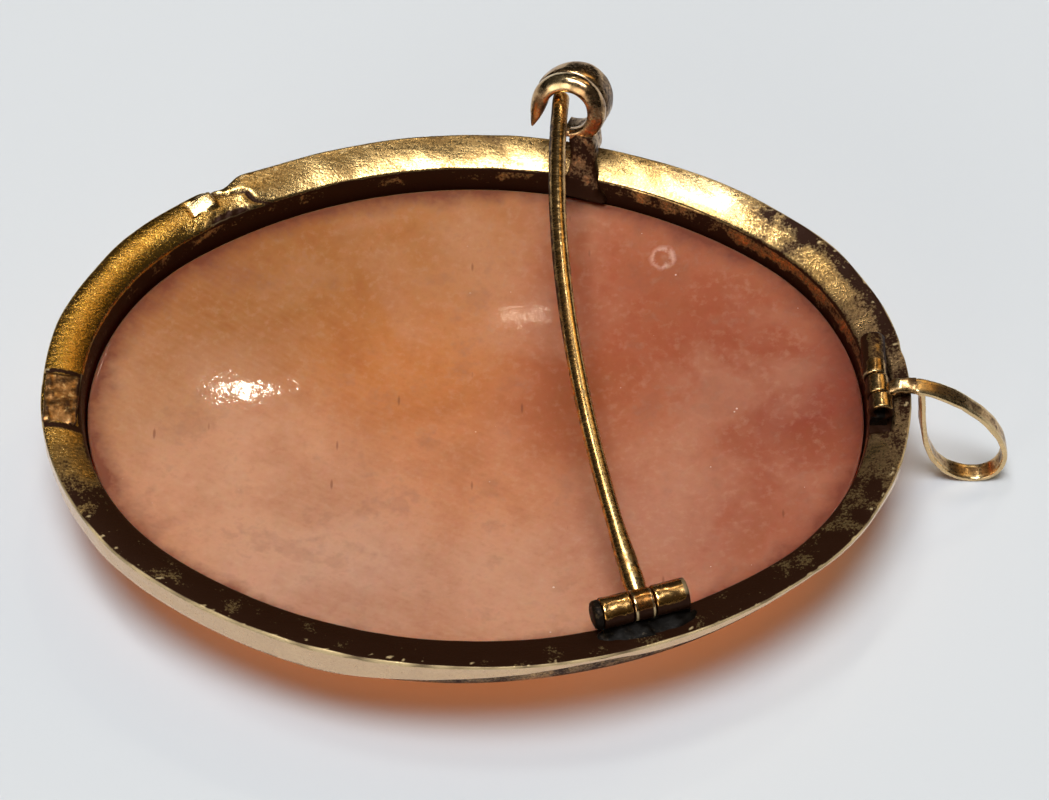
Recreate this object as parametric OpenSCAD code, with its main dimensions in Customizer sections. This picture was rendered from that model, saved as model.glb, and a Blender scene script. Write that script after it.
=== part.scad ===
// Oval shell cameo in a gold mount that is both a brooch and a pendant, lying on its carved face.
// Origin: centre of the oval on the table. +X: towards the bail, the top of the jewel when worn.
// +Y: towards the catch of the brooch pin. +Z: up, so the back of the jewel faces up.
// Every height is measured up from the table that the carving rests on.

/* [Shell] */
// Length of the carved shell
shell_l = 40; // [34:0.5:50]
// Width of the carved shell
shell_w = 30; // [27:0.5:38]
// Thickness of the shell at its edge
shell_edge_t = 1.3; // [0.9:0.05:1.8]
// Height of the ground's middle above the table
ground_h = 1.0; // [0.8:0.05:1.4]
// How far the front bulges from its edge to its middle
front_dome = 2.8; // [2.4:0.05:3.2]
// How far the back is hollowed from its edge to its middle
back_hollow = 1.8; // [0.8:0.05:2.4]

/* [Frame] */
// Width of the flat rim, outside the shell
rim_w = 2.2; // [1.8:0.05:3]
// How far the rim falls from its outer edge to its inner edge
rim_fall = 0.55; // [0.2:0.05:0.8]
// Height of the wall between the rim's inner edge and the shell
inner_wall_h = 1.35; // [1:0.05:2]
// Height of the upright outer wall under the rim
outer_wall_h = 1.2; // [1:0.05:2]
// How far the lip reaches over the front of the shell
lip_w = 0.6; // [0.4:0.05:0.9]
// Thickness of the lip
lip_t = 0.4; // [0.3:0.05:0.6]
// Clearance between the shell and the mount
seat_gap = 0.08; // [0.05:0.01:0.15]

/* [Brooch pin] */
// Diameter of the pin's wire
wire_d = 0.88; // [0.7:0.02:1]
// Angle through which the wire is bent between hinge and catch
wire_bend = 36; // [20:1:44]
// Lean of the bend out of the level
wire_roll = 50; // [30:1:60]
// Length of the pointed tip
tip_l = 1; // [0.8:0.1:1.6]
// Diameter at the end of the tip
tip_d = 0.3; // [0.2:0.05:0.5]

/* [Pin hinge] */
// Distance of the hinge from the middle of the near side, towards the bail
pin_hinge_x = 8.2; // [5:0.1:10]
// Turn of the hinge from the rim's own direction there
pin_hinge_turn = -1.9; // [-6:0.1:4]
// Height of the hinge line above the rim's outer edge
pin_hinge_h = 0.53; // [0.45:0.01:0.8]
// Outside diameter of the hinge tube
pin_tube_d = 1.56; // [1.4:0.02:1.7]
// Diameter of the rivet
pin_rivet_d = 0.66; // [0.5:0.02:0.75]
// Length of the first knuckle, on the frame
knuckle_1 = 1.5; // [1.2:0.05:2]
// Length of the middle knuckle, on the pin
knuckle_2 = 1.06; // [1:0.02:1.4]
// Length of the third knuckle, on the frame
knuckle_3 = 1.7; // [1.2:0.05:2]
// Length of the rivet's round head
rivet_head_l = 0.45; // [0.3:0.05:0.7]

/* [Catch] */
// Distance of the catch from the middle of the far side, towards the bail
catch_x = 5.5; // [3:0.05:8]
// Diameter of the eye in the hook
eye_d = 2.3; // [2:0.05:2.8]
// Thickness of the hook, measured out from the eye
hook_t = 0.92; // [0.7:0.02:1.1]
// Width of the hook, along its eye
hook_w = 2.5; // [2:0.05:2.8]
// Height of the eye's centre above the foot, along the stem
stem_h = 4.55; // [4.4:0.05:5.4]
// How far the eye's centre stands to the side of the foot
eye_side = 1.3; // [1:0.05:1.6]
// Width of the stem
stem_w = 1.45; // [1.1:0.05:1.8]
// Width of the stem's foot
foot_w = 2.2; // [1.9:0.05:2.8]
// Thickness of the stem
stem_t = 0.7; // [0.5:0.05:0.9]
// Angle by which the catch leans out over the rim
catch_lean = 20; // [12:1:28]
// Angle by which the catch is turned towards the bail
catch_turn = 17.5; // [5:0.5:26]

/* [Bail hinge] */
// Distance of the hinge line outside the shell's end
bail_hinge_out = 0.5; // [0.3:0.05:0.9]
// Height of the hinge line above the rim's outer edge
bail_hinge_h = 0.35; // [0.3:0.05:0.6]
// Outside diameter of the hinge tube
bail_tube_d = 1.26; // [1.1:0.02:1.4]
// Diameter of the rivet
bail_rivet_d = 0.56; // [0.4:0.02:0.62]
// Length of the long frame knuckle, on the catch's side
bail_knuckle_far = 2.6; // [1.8:0.05:3.2]
// Length of the bail's own knuckle
bail_knuckle = 1.12; // [0.9:0.02:1.5]
// Length of the short frame knuckle
bail_knuckle_near = 0.95; // [0.7:0.05:1.4]
// Depth of the notch that holds the hinge, below the rim's outer edge
notch_depth = 0.7; // [0.5:0.05:1]

/* [Bail] */
// Length of the drop-shaped loop
loop_l = 8.1; // [6:0.05:8.2]
// Half width of the loop on its upper side
loop_upper = 2.35; // [1.8:0.05:3]
// Half width of the loop on its lower side
loop_lower = 2.4; // [1.8:0.05:2.6]
// Width of the ribbon
ribbon_w = 0.9; // [0.6:0.05:1.1]
// Thickness of the ribbon
ribbon_t = 0.3; // [0.24:0.02:0.4]
// Angle at which the loop hangs below the level
loop_hang = 60.5; // [50:0.5:62]

/* [Fits] */
// Radial clearance of each rivet in the knuckle that turns on it
turn_gap = 0.04; // [0.02:0.01:0.08]
// Gap between the ends of neighbouring knuckles
side_gap = 0.07; // [0.04:0.01:0.12]

/* [Hidden] */

// Oval of four arcs drawn on 3-4-5 triangles, so that the end arcs and the side arcs meet in tangents.
// Its end arcs have their centres 3 units out along X, its side arcs 4 units out along Y.
half_l = shell_l / 2;
half_w = shell_w / 2;
unit = (half_l - half_w) / 2;
end_cx = 3 * unit;
side_cy = 4 * unit;
end_r = half_w - unit;
side_r = end_r + 5 * unit;
seam = atan2(4, 3);
past_axis = 1;
oval_fn = 160;
round_fn = 40;

// Levels, up from the table
front_edge_z = ground_h + front_dome;
back_edge_z = front_edge_z + shell_edge_t;
rim_inner_z = back_edge_z + inner_wall_h;
rim_z = rim_inner_z + rim_fall;
lip_z = front_edge_z - lip_t - 4 * seat_gap;

// Distance from the middle line to the oval's side, at x, for an oval that lies out mm outside the shell
function side_y(x, out) = sqrt(pow(side_r + out, 2) - x * x) - side_cy;

// Direction of the oval's side at x, as an angle from the X axis
function side_angle(x, out) = asin(x / (side_r + out));

// Distance from the centre to the shell's edge in the direction a
function edge_r(a) =
    let (c = abs(cos(a)), s = abs(sin(a)))
    atan2(s, c) < atan2(end_r * sin(seam), end_cx + end_r * cos(seam))
        ? end_cx * c + sqrt(end_r * end_r - pow(end_cx * s, 2))
        : -side_cy * s + sqrt(side_r * side_r - pow(side_cy * c, 2));

// Carries a flat profile, whose x is the distance outside the shell's edge, around the oval.
// Each quarter starts on the seam between two arcs and runs a little past the axis, into its neighbour.
module around_oval() {
    for (flip_x = [0, 1], flip_y = [0, 1]) mirror([flip_x, 0, 0]) mirror([0, flip_y, 0]) {
        translate([end_cx, 0, 0])
            rotate([0, 0, seam]) mirror([0, 1, 0])
                rotate_extrude(angle = seam + past_axis, $fn = oval_fn)
                    translate([end_r, 0]) children();
        translate([0, -side_cy, 0])
            rotate([0, 0, seam])
                rotate_extrude(angle = 90 - seam + past_axis, $fn = oval_fn)
                    translate([side_r, 0]) children();
    }
}

// The mount's cross-section: sloping rim, inner wall, seat, lip over the shell's front, undercut, outer wall
module mount_section() {
    polygon([
        [rim_w, rim_z],
        [0.1 * rim_w, rim_inner_z],
        [seat_gap, rim_inner_z - 0.5 * inner_wall_h],
        [seat_gap, front_edge_z - 2 * seat_gap],
        [-lip_w, lip_z + lip_t - 0.25 * lip_w],
        [-lip_w, lip_z - 0.25 * lip_w],
        [0.3 * rim_w, lip_z - 0.25 * lip_w],
        [0.45 * rim_w, lip_z + lip_t],
        [0.5 * rim_w, rim_z - 1.55 * outer_wall_h],
        [rim_w, rim_z - outer_wall_h]
    ]);
}

// Frame of the pin hinge: its middle on the hinge line, and its X axis along the hinge line
pin_hinge_angle = side_angle(pin_hinge_x, 0) + pin_hinge_turn;
pin_hinge_y = -side_y(pin_hinge_x, 0) - 0.08;
pin_hinge_z = rim_z + pin_hinge_h;

module at_pin_hinge() {
    translate([pin_hinge_x, pin_hinge_y, pin_hinge_z]) rotate([0, 0, pin_hinge_angle]) children();
}

// A cylinder along X between x0 and x1
module rod_x(x0, x1, d) {
    translate([x0, 0, 0]) rotate([0, 90, 0]) cylinder(h = x1 - x0, d = d, $fn = round_fn);
}

knuckle_1_x = -knuckle_2 / 2 - side_gap - knuckle_1;
knuckle_3_x = knuckle_2 / 2 + side_gap + knuckle_3;
pin_base_w = 0.9;
pin_base_drop = 0.95 * inner_wall_h + rim_fall + pin_hinge_h;

// The two frame knuckles of the pin hinge, on their solder base in the rim's inner corner
module pin_knuckles() {
    at_pin_hinge() {
        rod_x(knuckle_1_x, -knuckle_2 / 2 - side_gap, pin_tube_d);
        rod_x(knuckle_2 / 2 + side_gap, knuckle_3_x, pin_tube_d);
        for (span = [[knuckle_1_x, -knuckle_2 / 2 - side_gap], [knuckle_2 / 2 + side_gap, knuckle_3_x]])
            translate([span[0], -0.75 * pin_base_w, -pin_base_drop])
                cube([span[1] - span[0], pin_base_w, pin_base_drop - 0.3 * pin_tube_d]);
        translate([knuckle_1_x, -0.75 * pin_base_w, -pin_base_drop])
            cube([knuckle_3_x - knuckle_1_x, pin_base_w, pin_base_drop - 0.5 * pin_tube_d - 3 * side_gap]);
    }
}

// Frame of the bail hinge: its middle between the bail knuckle's ends, and its X axis towards the catch
bail_hinge_x = half_l + bail_hinge_out;
bail_hinge_y = -0.1;
bail_hinge_z = rim_z + bail_hinge_h;

module at_bail_hinge() {
    translate([bail_hinge_x, bail_hinge_y, bail_hinge_z]) rotate([0, 0, 90]) children();
}

bail_far_x = bail_knuckle / 2 + side_gap + bail_knuckle_far;
bail_near_x = -bail_knuckle / 2 - side_gap - bail_knuckle_near;
notch_end_gap = 0.55;

// The two frame knuckles of the bail hinge, on their solder bases
module bail_knuckles() {
    at_bail_hinge() for (span = [[bail_knuckle / 2 + side_gap, bail_far_x], [bail_near_x, -bail_knuckle / 2 - side_gap]]) {
        rod_x(span[0], span[1], bail_tube_d);
        translate([span[0], -0.36 * bail_tube_d, -bail_hinge_h - notch_depth - 0.1])
            cube([span[1] - span[0], 0.72 * bail_tube_d, bail_hinge_h + notch_depth + 0.1 - 0.3 * bail_tube_d]);
    }
}

// The notch in the rim that makes room for the bail hinge
module bail_notch() {
    at_bail_hinge()
        translate([bail_near_x - notch_end_gap, -0.5 * bail_tube_d - 0.12, -bail_hinge_h - notch_depth])
            cube([bail_far_x - bail_near_x + notch_end_gap, bail_tube_d + 0.7, 2 * notch_depth]);
}

// Frame of the catch: its foot on the inner wall, X along the stem's face, Y up the stem
foot_y = side_y(catch_x, 1.5 * seat_gap);
foot_z = back_edge_z + 0.4 * inner_wall_h;
hook_r = eye_d / 2 + hook_t;

module at_catch() {
    translate([catch_x, foot_y, foot_z]) rotate([90 - catch_lean, 0, -catch_turn]) children();
}

// A point given in the frame of the catch, in the frame of the jewel
function catch_point(p) =
    let (s = sin(catch_turn), c = cos(catch_turn), sl = sin(catch_lean), cl = cos(catch_lean))
    [catch_x, foot_y, foot_z] + p.x * [c, -s, 0] + p.y * [sl * s, sl * c, cl] + p.z * [-cl * s, -cl * c, sl];

// A point in the middle of the strip, at the angle a around the eye, in the frame of the catch
function hook_middle(a) = [-eye_side, stem_h] + (eye_d + hook_t) / 2 * [cos(a), sin(a)];

// The strip's section around the eye, with softened edges
module hook_section() {
    soft = 0.22 * hook_t;
    translate([eye_d / 2, 0]) polygon([
        [0, soft],
        [soft, 0],
        [hook_t - soft, 0],
        [hook_t, soft],
        [hook_t, hook_w - soft],
        [hook_t - soft, hook_w],
        [soft, hook_w],
        [0, hook_w - soft]
    ]);
}

hook_start = -92;
hook_end = 180;
hook_taper = 0.62;
point_l = 1.75;

// The catch: a flared strip that rises from the inner wall and curls to a pointed open hook
module catch() {
    at_catch() {
        translate([-eye_side, stem_h, stem_t / 2 - hook_w]) {
            difference() {
                rotate([0, 0, hook_start])
                    rotate_extrude(angle = hook_end - hook_start, $fn = 96) hook_section();
                translate([hook_r, 0, 0])
                    rotate([0, atan2(hook_taper * hook_w, 2 * hook_r), 0])
                        translate([-4 * hook_r, -2 * hook_r, -hook_w])
                            cube([4 * hook_r, 4 * hook_r, hook_w]);
            }
            rotate([0, 0, hook_end]) translate([eye_d / 2, 0, 0]) hull() {
                translate([0.08 * hook_t, -0.25 * hook_t, 0.7 * hook_w])
                    cube([0.84 * hook_t, 0.5 * hook_t, 0.25 * hook_w]);
                translate([0.42 * hook_t, point_l, 0.83 * hook_w])
                    cube([0.15 * hook_t, 0.05, 0.07 * hook_w]);
            }
        }
        translate([0, 0, -stem_t / 2]) linear_extrude(stem_t) polygon([
            [-foot_w / 2, 0],
            [foot_w / 2, 0],
            [stem_w / 2, 0.24 * stem_h],
            [0.4 * stem_w, stem_h - hook_r],
            hook_middle(-35),
            hook_middle(-62),
            hook_middle(-92),
            [-0.6 * stem_w, 0.48 * stem_h],
            [-stem_w / 2, 0.24 * stem_h]
        ]);
    }
}

patch_l = 2.3;
patch_w = 1.5;
patch_t = 0.22;
patch_y = -0.8;

// A square of gold soldered over an old break at the end away from the bail
module solder_patch() {
    translate([-half_l - 0.55 * rim_w, patch_y, rim_z - 0.5 * rim_fall - 0.1])
        rotate([0, atan2(rim_fall, rim_w), 0])
            translate([-patch_w / 2, -patch_l / 2, -patch_t / 2]) cube([patch_w, patch_l, 2 * patch_t]);
}

// Radial clearance of a rivet in the frame knuckles, which it doesn't turn in
rivet_fit = 0.01;

module frame() {
    color("#B8923F") difference() {
        union() {
            difference() {
                around_oval() mount_section();
                bail_notch();
            }
            pin_knuckles();
            bail_knuckles();
            catch();
            solder_patch();
        }
        at_pin_hinge() rod_x(knuckle_1_x - 1, knuckle_3_x - knuckle_3 / 2, pin_rivet_d + 2 * rivet_fit);
        at_bail_hinge() rod_x(bail_near_x - 1, bail_far_x - bail_knuckle_far / 4, bail_rivet_d + 2 * rivet_fit);
    }
}

// The rivet of the pin hinge, with its round head outside the first knuckle
module pin_hinge_rivet() {
    color("#5A4526") at_pin_hinge() {
        rod_x(knuckle_1_x - 0.1, knuckle_3_x - knuckle_3 / 2 - side_gap, pin_rivet_d);
        translate([knuckle_1_x - side_gap / 2, 0, 0]) rotate([0, -90, 0]) {
            cylinder(h = 0.5 * rivet_head_l, d = 0.92 * pin_tube_d, $fn = round_fn);
            translate([0, 0, 0.5 * rivet_head_l])
                cylinder(h = 0.5 * rivet_head_l, d1 = 0.92 * pin_tube_d, d2 = 0.6 * pin_tube_d, $fn = round_fn);
        }
    }
}

// The rivet of the bail hinge, sunk in the open end of the short knuckle
module bail_hinge_rivet() {
    color("#5A4526") at_bail_hinge()
        rod_x(bail_near_x + 0.4, bail_far_x - bail_knuckle_far / 4 - side_gap, bail_rivet_d);
}

// The pin's wire runs on one arc from its knuckle to just inside the hook's eye
pin_root = 0.42 * pin_tube_d;
wire_start = [pin_hinge_x, pin_hinge_y, pin_hinge_z]
    + pin_root * [-sin(pin_hinge_angle), cos(pin_hinge_angle), 0];
wire_end = catch_point([-eye_side - 0.14 * eye_d, stem_h + 0.11 * eye_d, stem_t / 2]);
wire_chord = wire_end - wire_start;
wire_yaw = atan2(-wire_chord.x, wire_chord.y);
wire_pitch = asin(wire_chord.z / norm(wire_chord));
wire_arc_r = norm(wire_chord) / (2 * sin(wire_bend / 2));

module pin_wire() {
    translate(wire_start) rotate([wire_pitch, 0, wire_yaw])
        rotate([0, wire_roll, 0])
            rotate([0, 0, wire_bend / 2]) translate([wire_arc_r, 0, 0]) rotate([0, 0, 180 - wire_bend]) {
                rotate_extrude(angle = wire_bend, $fn = 720)
                    translate([wire_arc_r, 0]) circle(d = wire_d, $fn = 32);
                translate([wire_arc_r, 0, 0]) rotate([90, 0, 0])
                    cylinder(h = tip_l, d1 = wire_d, d2 = tip_d, $fn = 32);
            }
}

module pin_stem() {
    color("#C79A3E") difference() {
        union() {
            at_pin_hinge() rod_x(-knuckle_2 / 2, knuckle_2 / 2, pin_tube_d);
            pin_wire();
        }
        at_pin_hinge() rod_x(-knuckle_2, knuckle_2, pin_rivet_d + 2 * turn_gap);
    }
}

// Centre line of the loop: a drop whose sides swell by their own powers, from its neck (t = 0) round to it again
loop_steps = 72;
swell_upper = 0.5;
swell_lower = 1;
neck_out = 2.25;
neck_up = 0.1;
outer_from = 3;
inner_from = 12;

function drop_point(t) =
    let (
        along = loop_l * (1 - cos(t)) / 2,
        across = t < 180 ? loop_upper * sin(t) * pow(sin(t / 2), swell_upper)
                         : loop_lower * sin(t) * pow(sin(t / 2), swell_lower),
        c = cos(loop_hang),
        s = sin(loop_hang)
    )
    [neck_out + along * c + across * s, neck_up - along * s + across * c];

function drop_side(t, off) =
    let (step = 0.5, d = drop_point(t + step) - drop_point(t - step))
    drop_point(t) + off * [-d.y, d.x] / norm(d);

// Outline that runs off mm to the left of the centre line, from the angle first round to 360 - first
function drop_outline(off, first) =
    [for (i = [0:loop_steps]) drop_side(first + i * (360 - 2 * first) / loop_steps, off)];

// Side view of the bail: the loop, closed at its neck, and the strap that joins it to the hinge
module bail_profile() {
    difference() {
        polygon(drop_outline(ribbon_t / 2, outer_from));
        polygon(drop_outline(-ribbon_t / 2, inner_from));
    }
    translate([0.3 * bail_tube_d, neck_up - 0.5 * ribbon_t])
        square([neck_out - 0.3 * bail_tube_d, 1.1 * ribbon_t]);
}

module bail() {
    color("#C2A06A") difference() {
        union() {
            at_bail_hinge() rod_x(-bail_knuckle / 2, bail_knuckle / 2, bail_tube_d);
            translate([bail_hinge_x, bail_hinge_y, bail_hinge_z]) rotate([90, 0, 0])
                linear_extrude(ribbon_w, center = true) bail_profile();
        }
        at_bail_hinge() rod_x(-bail_knuckle, bail_knuckle, bail_rivet_d + 2 * turn_gap);
    }
}

// The carving: a woman's head and shoulders in profile, as rounded masses that run into one another.
// Columns: up and right place the mass on the upright picture, as shares of half the shell's length and
// width; long and wide are its half sizes in the same shares; turn is its angle; rise is its height as a
// share of the ground's own rise from the table at its middle.
CARVING = [
    // up     right  long   wide  turn  rise
    // Head, face, brow, jaw, chin, nose, mouth
    [ 0.36,  -0.03, 0.28,  0.38,    0, 1.15],
    [ 0.24,   0.14, 0.26,  0.26,    6, 1.10],
    [ 0.40,   0.20, 0.15,  0.19,    0, 1.10],
    [ 0.06,   0.14, 0.12,  0.24,   24, 1.00],
    [ 0.005,  0.29, 0.055, 0.085,   0, 1.00],
    [ 0.235,  0.36, 0.055, 0.10,  -28, 1.00],
    [ 0.115,  0.34, 0.035, 0.065,   0, 0.85],
    // Hair over the brow, at the back and over the ear, then the knot and its comb
    [ 0.53,   0.04, 0.14,  0.36,  -12, 1.70],
    [ 0.42,  -0.26, 0.23,  0.24,   18, 1.75],
    [ 0.20,  -0.20, 0.14,  0.16,   20, 1.30],
    [ 0.30,  -0.54, 0.16,  0.20,   15, 2.20],
    [ 0.60,  -0.22, 0.05,  0.20,   26, 2.15],
    // Two long curls down the back
    [ 0.02,  -0.36, 0.16,  0.11,  -20, 1.30],
    [-0.18,  -0.33, 0.14,  0.10,    6, 1.35],
    // Neck, chest and shoulders
    [-0.10,  -0.06, 0.30,  0.20,    6, 0.95],
    [-0.36,  -0.02, 0.20,  0.48,    0, 1.15],
    [-0.42,  -0.38, 0.20,  0.28,   24, 1.75],
    [-0.46,   0.32, 0.18,  0.30,  -26, 1.65],
    // Dress, its two crossing folds and its lower hem
    [-0.60,   0.00, 0.13,  0.50,    0, 1.95],
    [-0.47,  -0.22, 0.05,  0.40,   22, 1.95],
    [-0.52,   0.20, 0.05,  0.38,  -24, 2.05],
    [-0.68,   0.00, 0.055, 0.40,    0, 2.35]
];

// Height of one mass over the ground at the share place [up, right]
function mass_rise(m, p) =
    let (
        c = cos(m[4]),
        s = sin(m[4]),
        u = p[0] - m[0],
        v = p[1] - m[1],
        q = pow((u * c + v * s) / m[2], 2) + pow((v * c - u * s) / m[3], 2)
    )
    q < 1 ? m[5] * ground_h * sqrt(1 - q) : 0;

// Height of the whole carving: a sum of fourth powers, which rounds the valleys between the masses
function carving_rise(p) =
    pow([for (m = CARVING) pow(mass_rise(m, p), 4)] * [for (m = CARVING) 1], 0.25);

// A point of the front: share of the way from the centre to the edge, and direction
function front_point(share, a) =
    let (
        r = share * edge_r(a),
        x = r * cos(a),
        y = r * sin(a),
        ground = front_edge_z - front_dome * (1 - share * share)
    )
    [x, y, max(0, ground - carving_rise([x / half_l, y / half_w]))];

function back_point(share, a) =
    [share * edge_r(a) * cos(a), share * edge_r(a) * sin(a), back_edge_z - back_hollow * (1 - share * share)];

around = 108;
front_rings = 32;
back_rings = 7;

// Index of point j on ring i, in a list that starts with a centre point at index first
function ring_index(first, i, j) = first + 1 + (i - 1) * around + j % around;

// Triangles of a disc of rings, wound so that it faces down, or up where up is true
function disc_faces(first, rings, up) = [
    for (j = [0:around - 1]) up
        ? [ring_index(first, 1, j + 1), ring_index(first, 1, j), first]
        : [ring_index(first, 1, j), ring_index(first, 1, j + 1), first],
    for (i = [1:rings - 1], j = [0:around - 1], half = [0, 1])
        let (
            a = ring_index(first, i, j),
            b = ring_index(first, i, j + 1),
            c = ring_index(first, i + 1, j + 1),
            d = ring_index(first, i + 1, j),
            tri = half == 0 ? [a, d, c] : [a, c, b]
        )
        up ? [tri[2], tri[1], tri[0]] : tri
];

// The shell, carved from one piece: a domed front with the carving raised on it, and a hollowed back
module cameo_shell() {
    front_first = 0;
    back_first = 1 + around * front_rings;
    points = [
        front_point(0, 0),
        for (i = [1:front_rings], j = [0:around - 1]) front_point(i / front_rings, j * 360 / around),
        back_point(0, 0),
        for (i = [1:back_rings], j = [0:around - 1]) back_point(i / back_rings, j * 360 / around)
    ];
    edge = [
        for (j = [0:around - 1], half = [0, 1])
            let (
                a = ring_index(front_first, front_rings, j),
                b = ring_index(front_first, front_rings, j + 1),
                c = ring_index(back_first, back_rings, j + 1),
                d = ring_index(back_first, back_rings, j)
            )
            half == 0 ? [a, d, c] : [a, c, b]
    ];
    color("#D9906A") polyhedron(
        points,
        concat(disc_faces(front_first, front_rings, false), disc_faces(back_first, back_rings, true), edge)
    );
}

frame();
cameo_shell();
pin_stem();
pin_hinge_rivet();
bail();
bail_hinge_rivet();
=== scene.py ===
"""Cameo brooch pendant, seen from behind as it lies on its carved face."""

import math
from functools import partial

import bpy
import numpy as np
from mathutils import Matrix


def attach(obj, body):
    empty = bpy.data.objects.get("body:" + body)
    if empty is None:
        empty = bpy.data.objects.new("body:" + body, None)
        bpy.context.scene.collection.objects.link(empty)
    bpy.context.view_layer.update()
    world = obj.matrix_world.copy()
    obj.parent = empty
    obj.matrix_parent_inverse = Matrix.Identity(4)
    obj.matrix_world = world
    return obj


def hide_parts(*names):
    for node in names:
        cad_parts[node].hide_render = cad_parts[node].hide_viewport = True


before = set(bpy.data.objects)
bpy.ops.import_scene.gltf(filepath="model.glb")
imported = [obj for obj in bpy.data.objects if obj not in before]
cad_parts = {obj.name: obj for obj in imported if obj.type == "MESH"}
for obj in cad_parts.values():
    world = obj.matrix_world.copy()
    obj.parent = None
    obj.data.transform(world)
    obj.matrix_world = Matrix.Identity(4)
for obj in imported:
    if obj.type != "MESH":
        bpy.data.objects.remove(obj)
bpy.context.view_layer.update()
MM = 0.001

# Camera. It looks down on the back of the jewel from the pin's side, at the height and distance
# that the rim's oval and the height of its walls give.

camera_lift = math.radians(52.3)
camera_roll = math.radians(0.4)
camera_far = 220
rim_z = 7.0

camera_data = bpy.data.cameras.new("camera")
camera_data.lens = 147.83
camera_data.sensor_width = 36
camera_data.shift_x = 0.0463
camera_data.shift_y = -0.0113
camera_data.clip_start = 0.01
camera_data.clip_end = 10
camera = bpy.data.objects.new("camera", camera_data)
bpy.context.scene.collection.objects.link(camera)
back = np.array([0, -math.cos(camera_lift), math.sin(camera_lift)])
level_up = np.array([0, math.sin(camera_lift), math.cos(camera_lift)])
level_right = np.array([1.0, 0, 0])
right = math.cos(camera_roll) * level_right + math.sin(camera_roll) * level_up
up = math.cos(camera_roll) * level_up - math.sin(camera_roll) * level_right
place = (np.array([0, 0, rim_z]) + camera_far * back) * MM
turn = Matrix(np.column_stack([right, up, back]).tolist()).to_4x4()
camera.matrix_world = Matrix.Translation(place.tolist()) @ turn
bpy.context.scene.camera = camera
bpy.context.scene.view_settings.view_transform = "Standard"

# Table. A smooth painted board, nearly white and a little cool. It is matt, so it shows no
# reflection of the jewel, only its soft shadow.


def srgb(text):
    """Linear colour of a hex colour such as #C9A24C."""
    parts = [int(text[i:i + 2], 16) / 255 for i in (1, 3, 5)]
    return [p / 12.92 if p <= 0.04045 else ((p + 0.055) / 1.055) ** 2.4 for p in parts] + [1]


def node(tree, kind, inputs=(), out=0, **settings):
    """One output of a new node. Its inputs are listed in order or named, and each is a value, a hex
    colour, or the output that feeds it.
    """
    made = tree.nodes.new("ShaderNode" + kind)
    for key, value in settings.items():
        setattr(made, key, value)
    for key, value in inputs.items() if isinstance(inputs, dict) else enumerate(inputs):
        if isinstance(value, bpy.types.NodeSocket):
            tree.links.new(value, made.inputs[key])
        else:
            made.inputs[key].default_value = srgb(value) if isinstance(value, str) else value
    return made.outputs[out]


def new_paint(name, inputs):
    """A material with these values on its shader. Returns it, its shader, and node for its own tree."""
    made = bpy.data.materials.new(name)
    made.use_nodes = True
    shader = made.node_tree.nodes["Principled BSDF"]
    for key, value in inputs.items():
        shader.inputs[key].default_value = value
    return made, shader, partial(node, made.node_tree)


table_reach = 1.5
table_corners = [(-1, -1), (1, -1), (1, 1), (-1, 1)]
table_mesh = bpy.data.meshes.new("table")
table_mesh.from_pydata([(table_reach * x, table_reach * y, 0) for x, y in table_corners], [], [(0, 1, 2, 3)])
table = bpy.data.objects.new("table", table_mesh)
bpy.context.scene.collection.objects.link(table)
table_paint, _, _ = new_paint("painted_board", {"Base Color": srgb("#D9DDE2"), "Roughness": 0.7})
table_mesh.materials.append(table_paint)

# Light. A dim room with a bright patch of ceiling, a weak window on the viewer's side, and small lamps
# and lit patches of wall behind the jewel. The gold shows the room, so it is dark where it looks at
# the unlit walls.

world = bpy.data.worlds.new("studio")
world.use_nodes = True
bpy.context.scene.world = world
sky = world.node_tree
sky_aim = node(sky, "TexCoord")


def direction(azimuth, lift):
    """Unit vector towards an azimuth, 0 behind the jewel and 90 to its right, and a height, in degrees."""
    a, e = math.radians(azimuth), math.radians(lift)
    return np.array([math.sin(a) * math.cos(e), math.cos(a) * math.cos(e), math.sin(e)])


def glow(azimuth, lift, full, none, strength, colour):
    """Light from round a direction: even within the angle full, and none beyond the angle none."""
    near = node(sky, "VectorMath", [sky_aim, direction(azimuth, lift)], out=1, operation="DOT_PRODUCT")
    least, most = (math.cos(math.radians(angle)) for angle in (none, full))
    fade = node(sky, "MapRange", [near, least, most, 0, strength], interpolation_type="SMOOTHSTEP")
    return node(sky, "VectorMath", {0: srgb(colour)[:3], "Scale": fade}, operation="SCALE")


glows = [
    glow(0, 90, 10, 100, 0.06, "#FFF4E6"),
    glow(-160, 79, 5, 16, 19.4, "#FAFDFF"),
    glow(-48.5, 73.3, 1.5, 5, 24.0, "#FFFCF4"),
    glow(42, 38, 3, 14, 1.5, "#FFD284"),
    glow(41, 53, 1.5, 6, 5.2, "#FFECC0"),
    glow(42, 67, 1.5, 5, 2.2, "#FFE9B4"),
    glow(-150, 14, 7, 19, 3.0, "#FFF8EC"),
]
total = glows[0]
for more in glows[1:]:
    total = node(sky, "VectorMath", [total, more], operation="ADD")
sky.links.new(total, sky.nodes["Background"].inputs["Color"])


def lamp(name, azimuth, lift, far, size, watts, colour):
    """A round or oval area light that faces the jewel's middle from far metres away."""
    data = bpy.data.lights.new(name, "AREA")
    data.shape = "ELLIPSE"
    data.size, data.size_y = size
    data.energy = watts
    data.color = srgb(colour)[:3]
    made = bpy.data.objects.new(name, data)
    away = direction(azimuth, lift)
    side = np.cross([0, 0, 1.0], away)
    side = side / np.linalg.norm(side)
    made.matrix_world = Matrix.Translation((away * far).tolist()) @ Matrix(
        np.column_stack([side, np.cross(away, side), away]).tolist()).to_4x4()
    bpy.context.scene.collection.objects.link(made)


lamp("ceiling_lamp", 11.1, 55.3, 1.0, (0.006, 0.011), 0.34, "#FFF3DC")
lamp("second_lamp", -3.6, 64.2, 1.0, (0.02, 0.03), 0.06, "#FFEACC")
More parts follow.
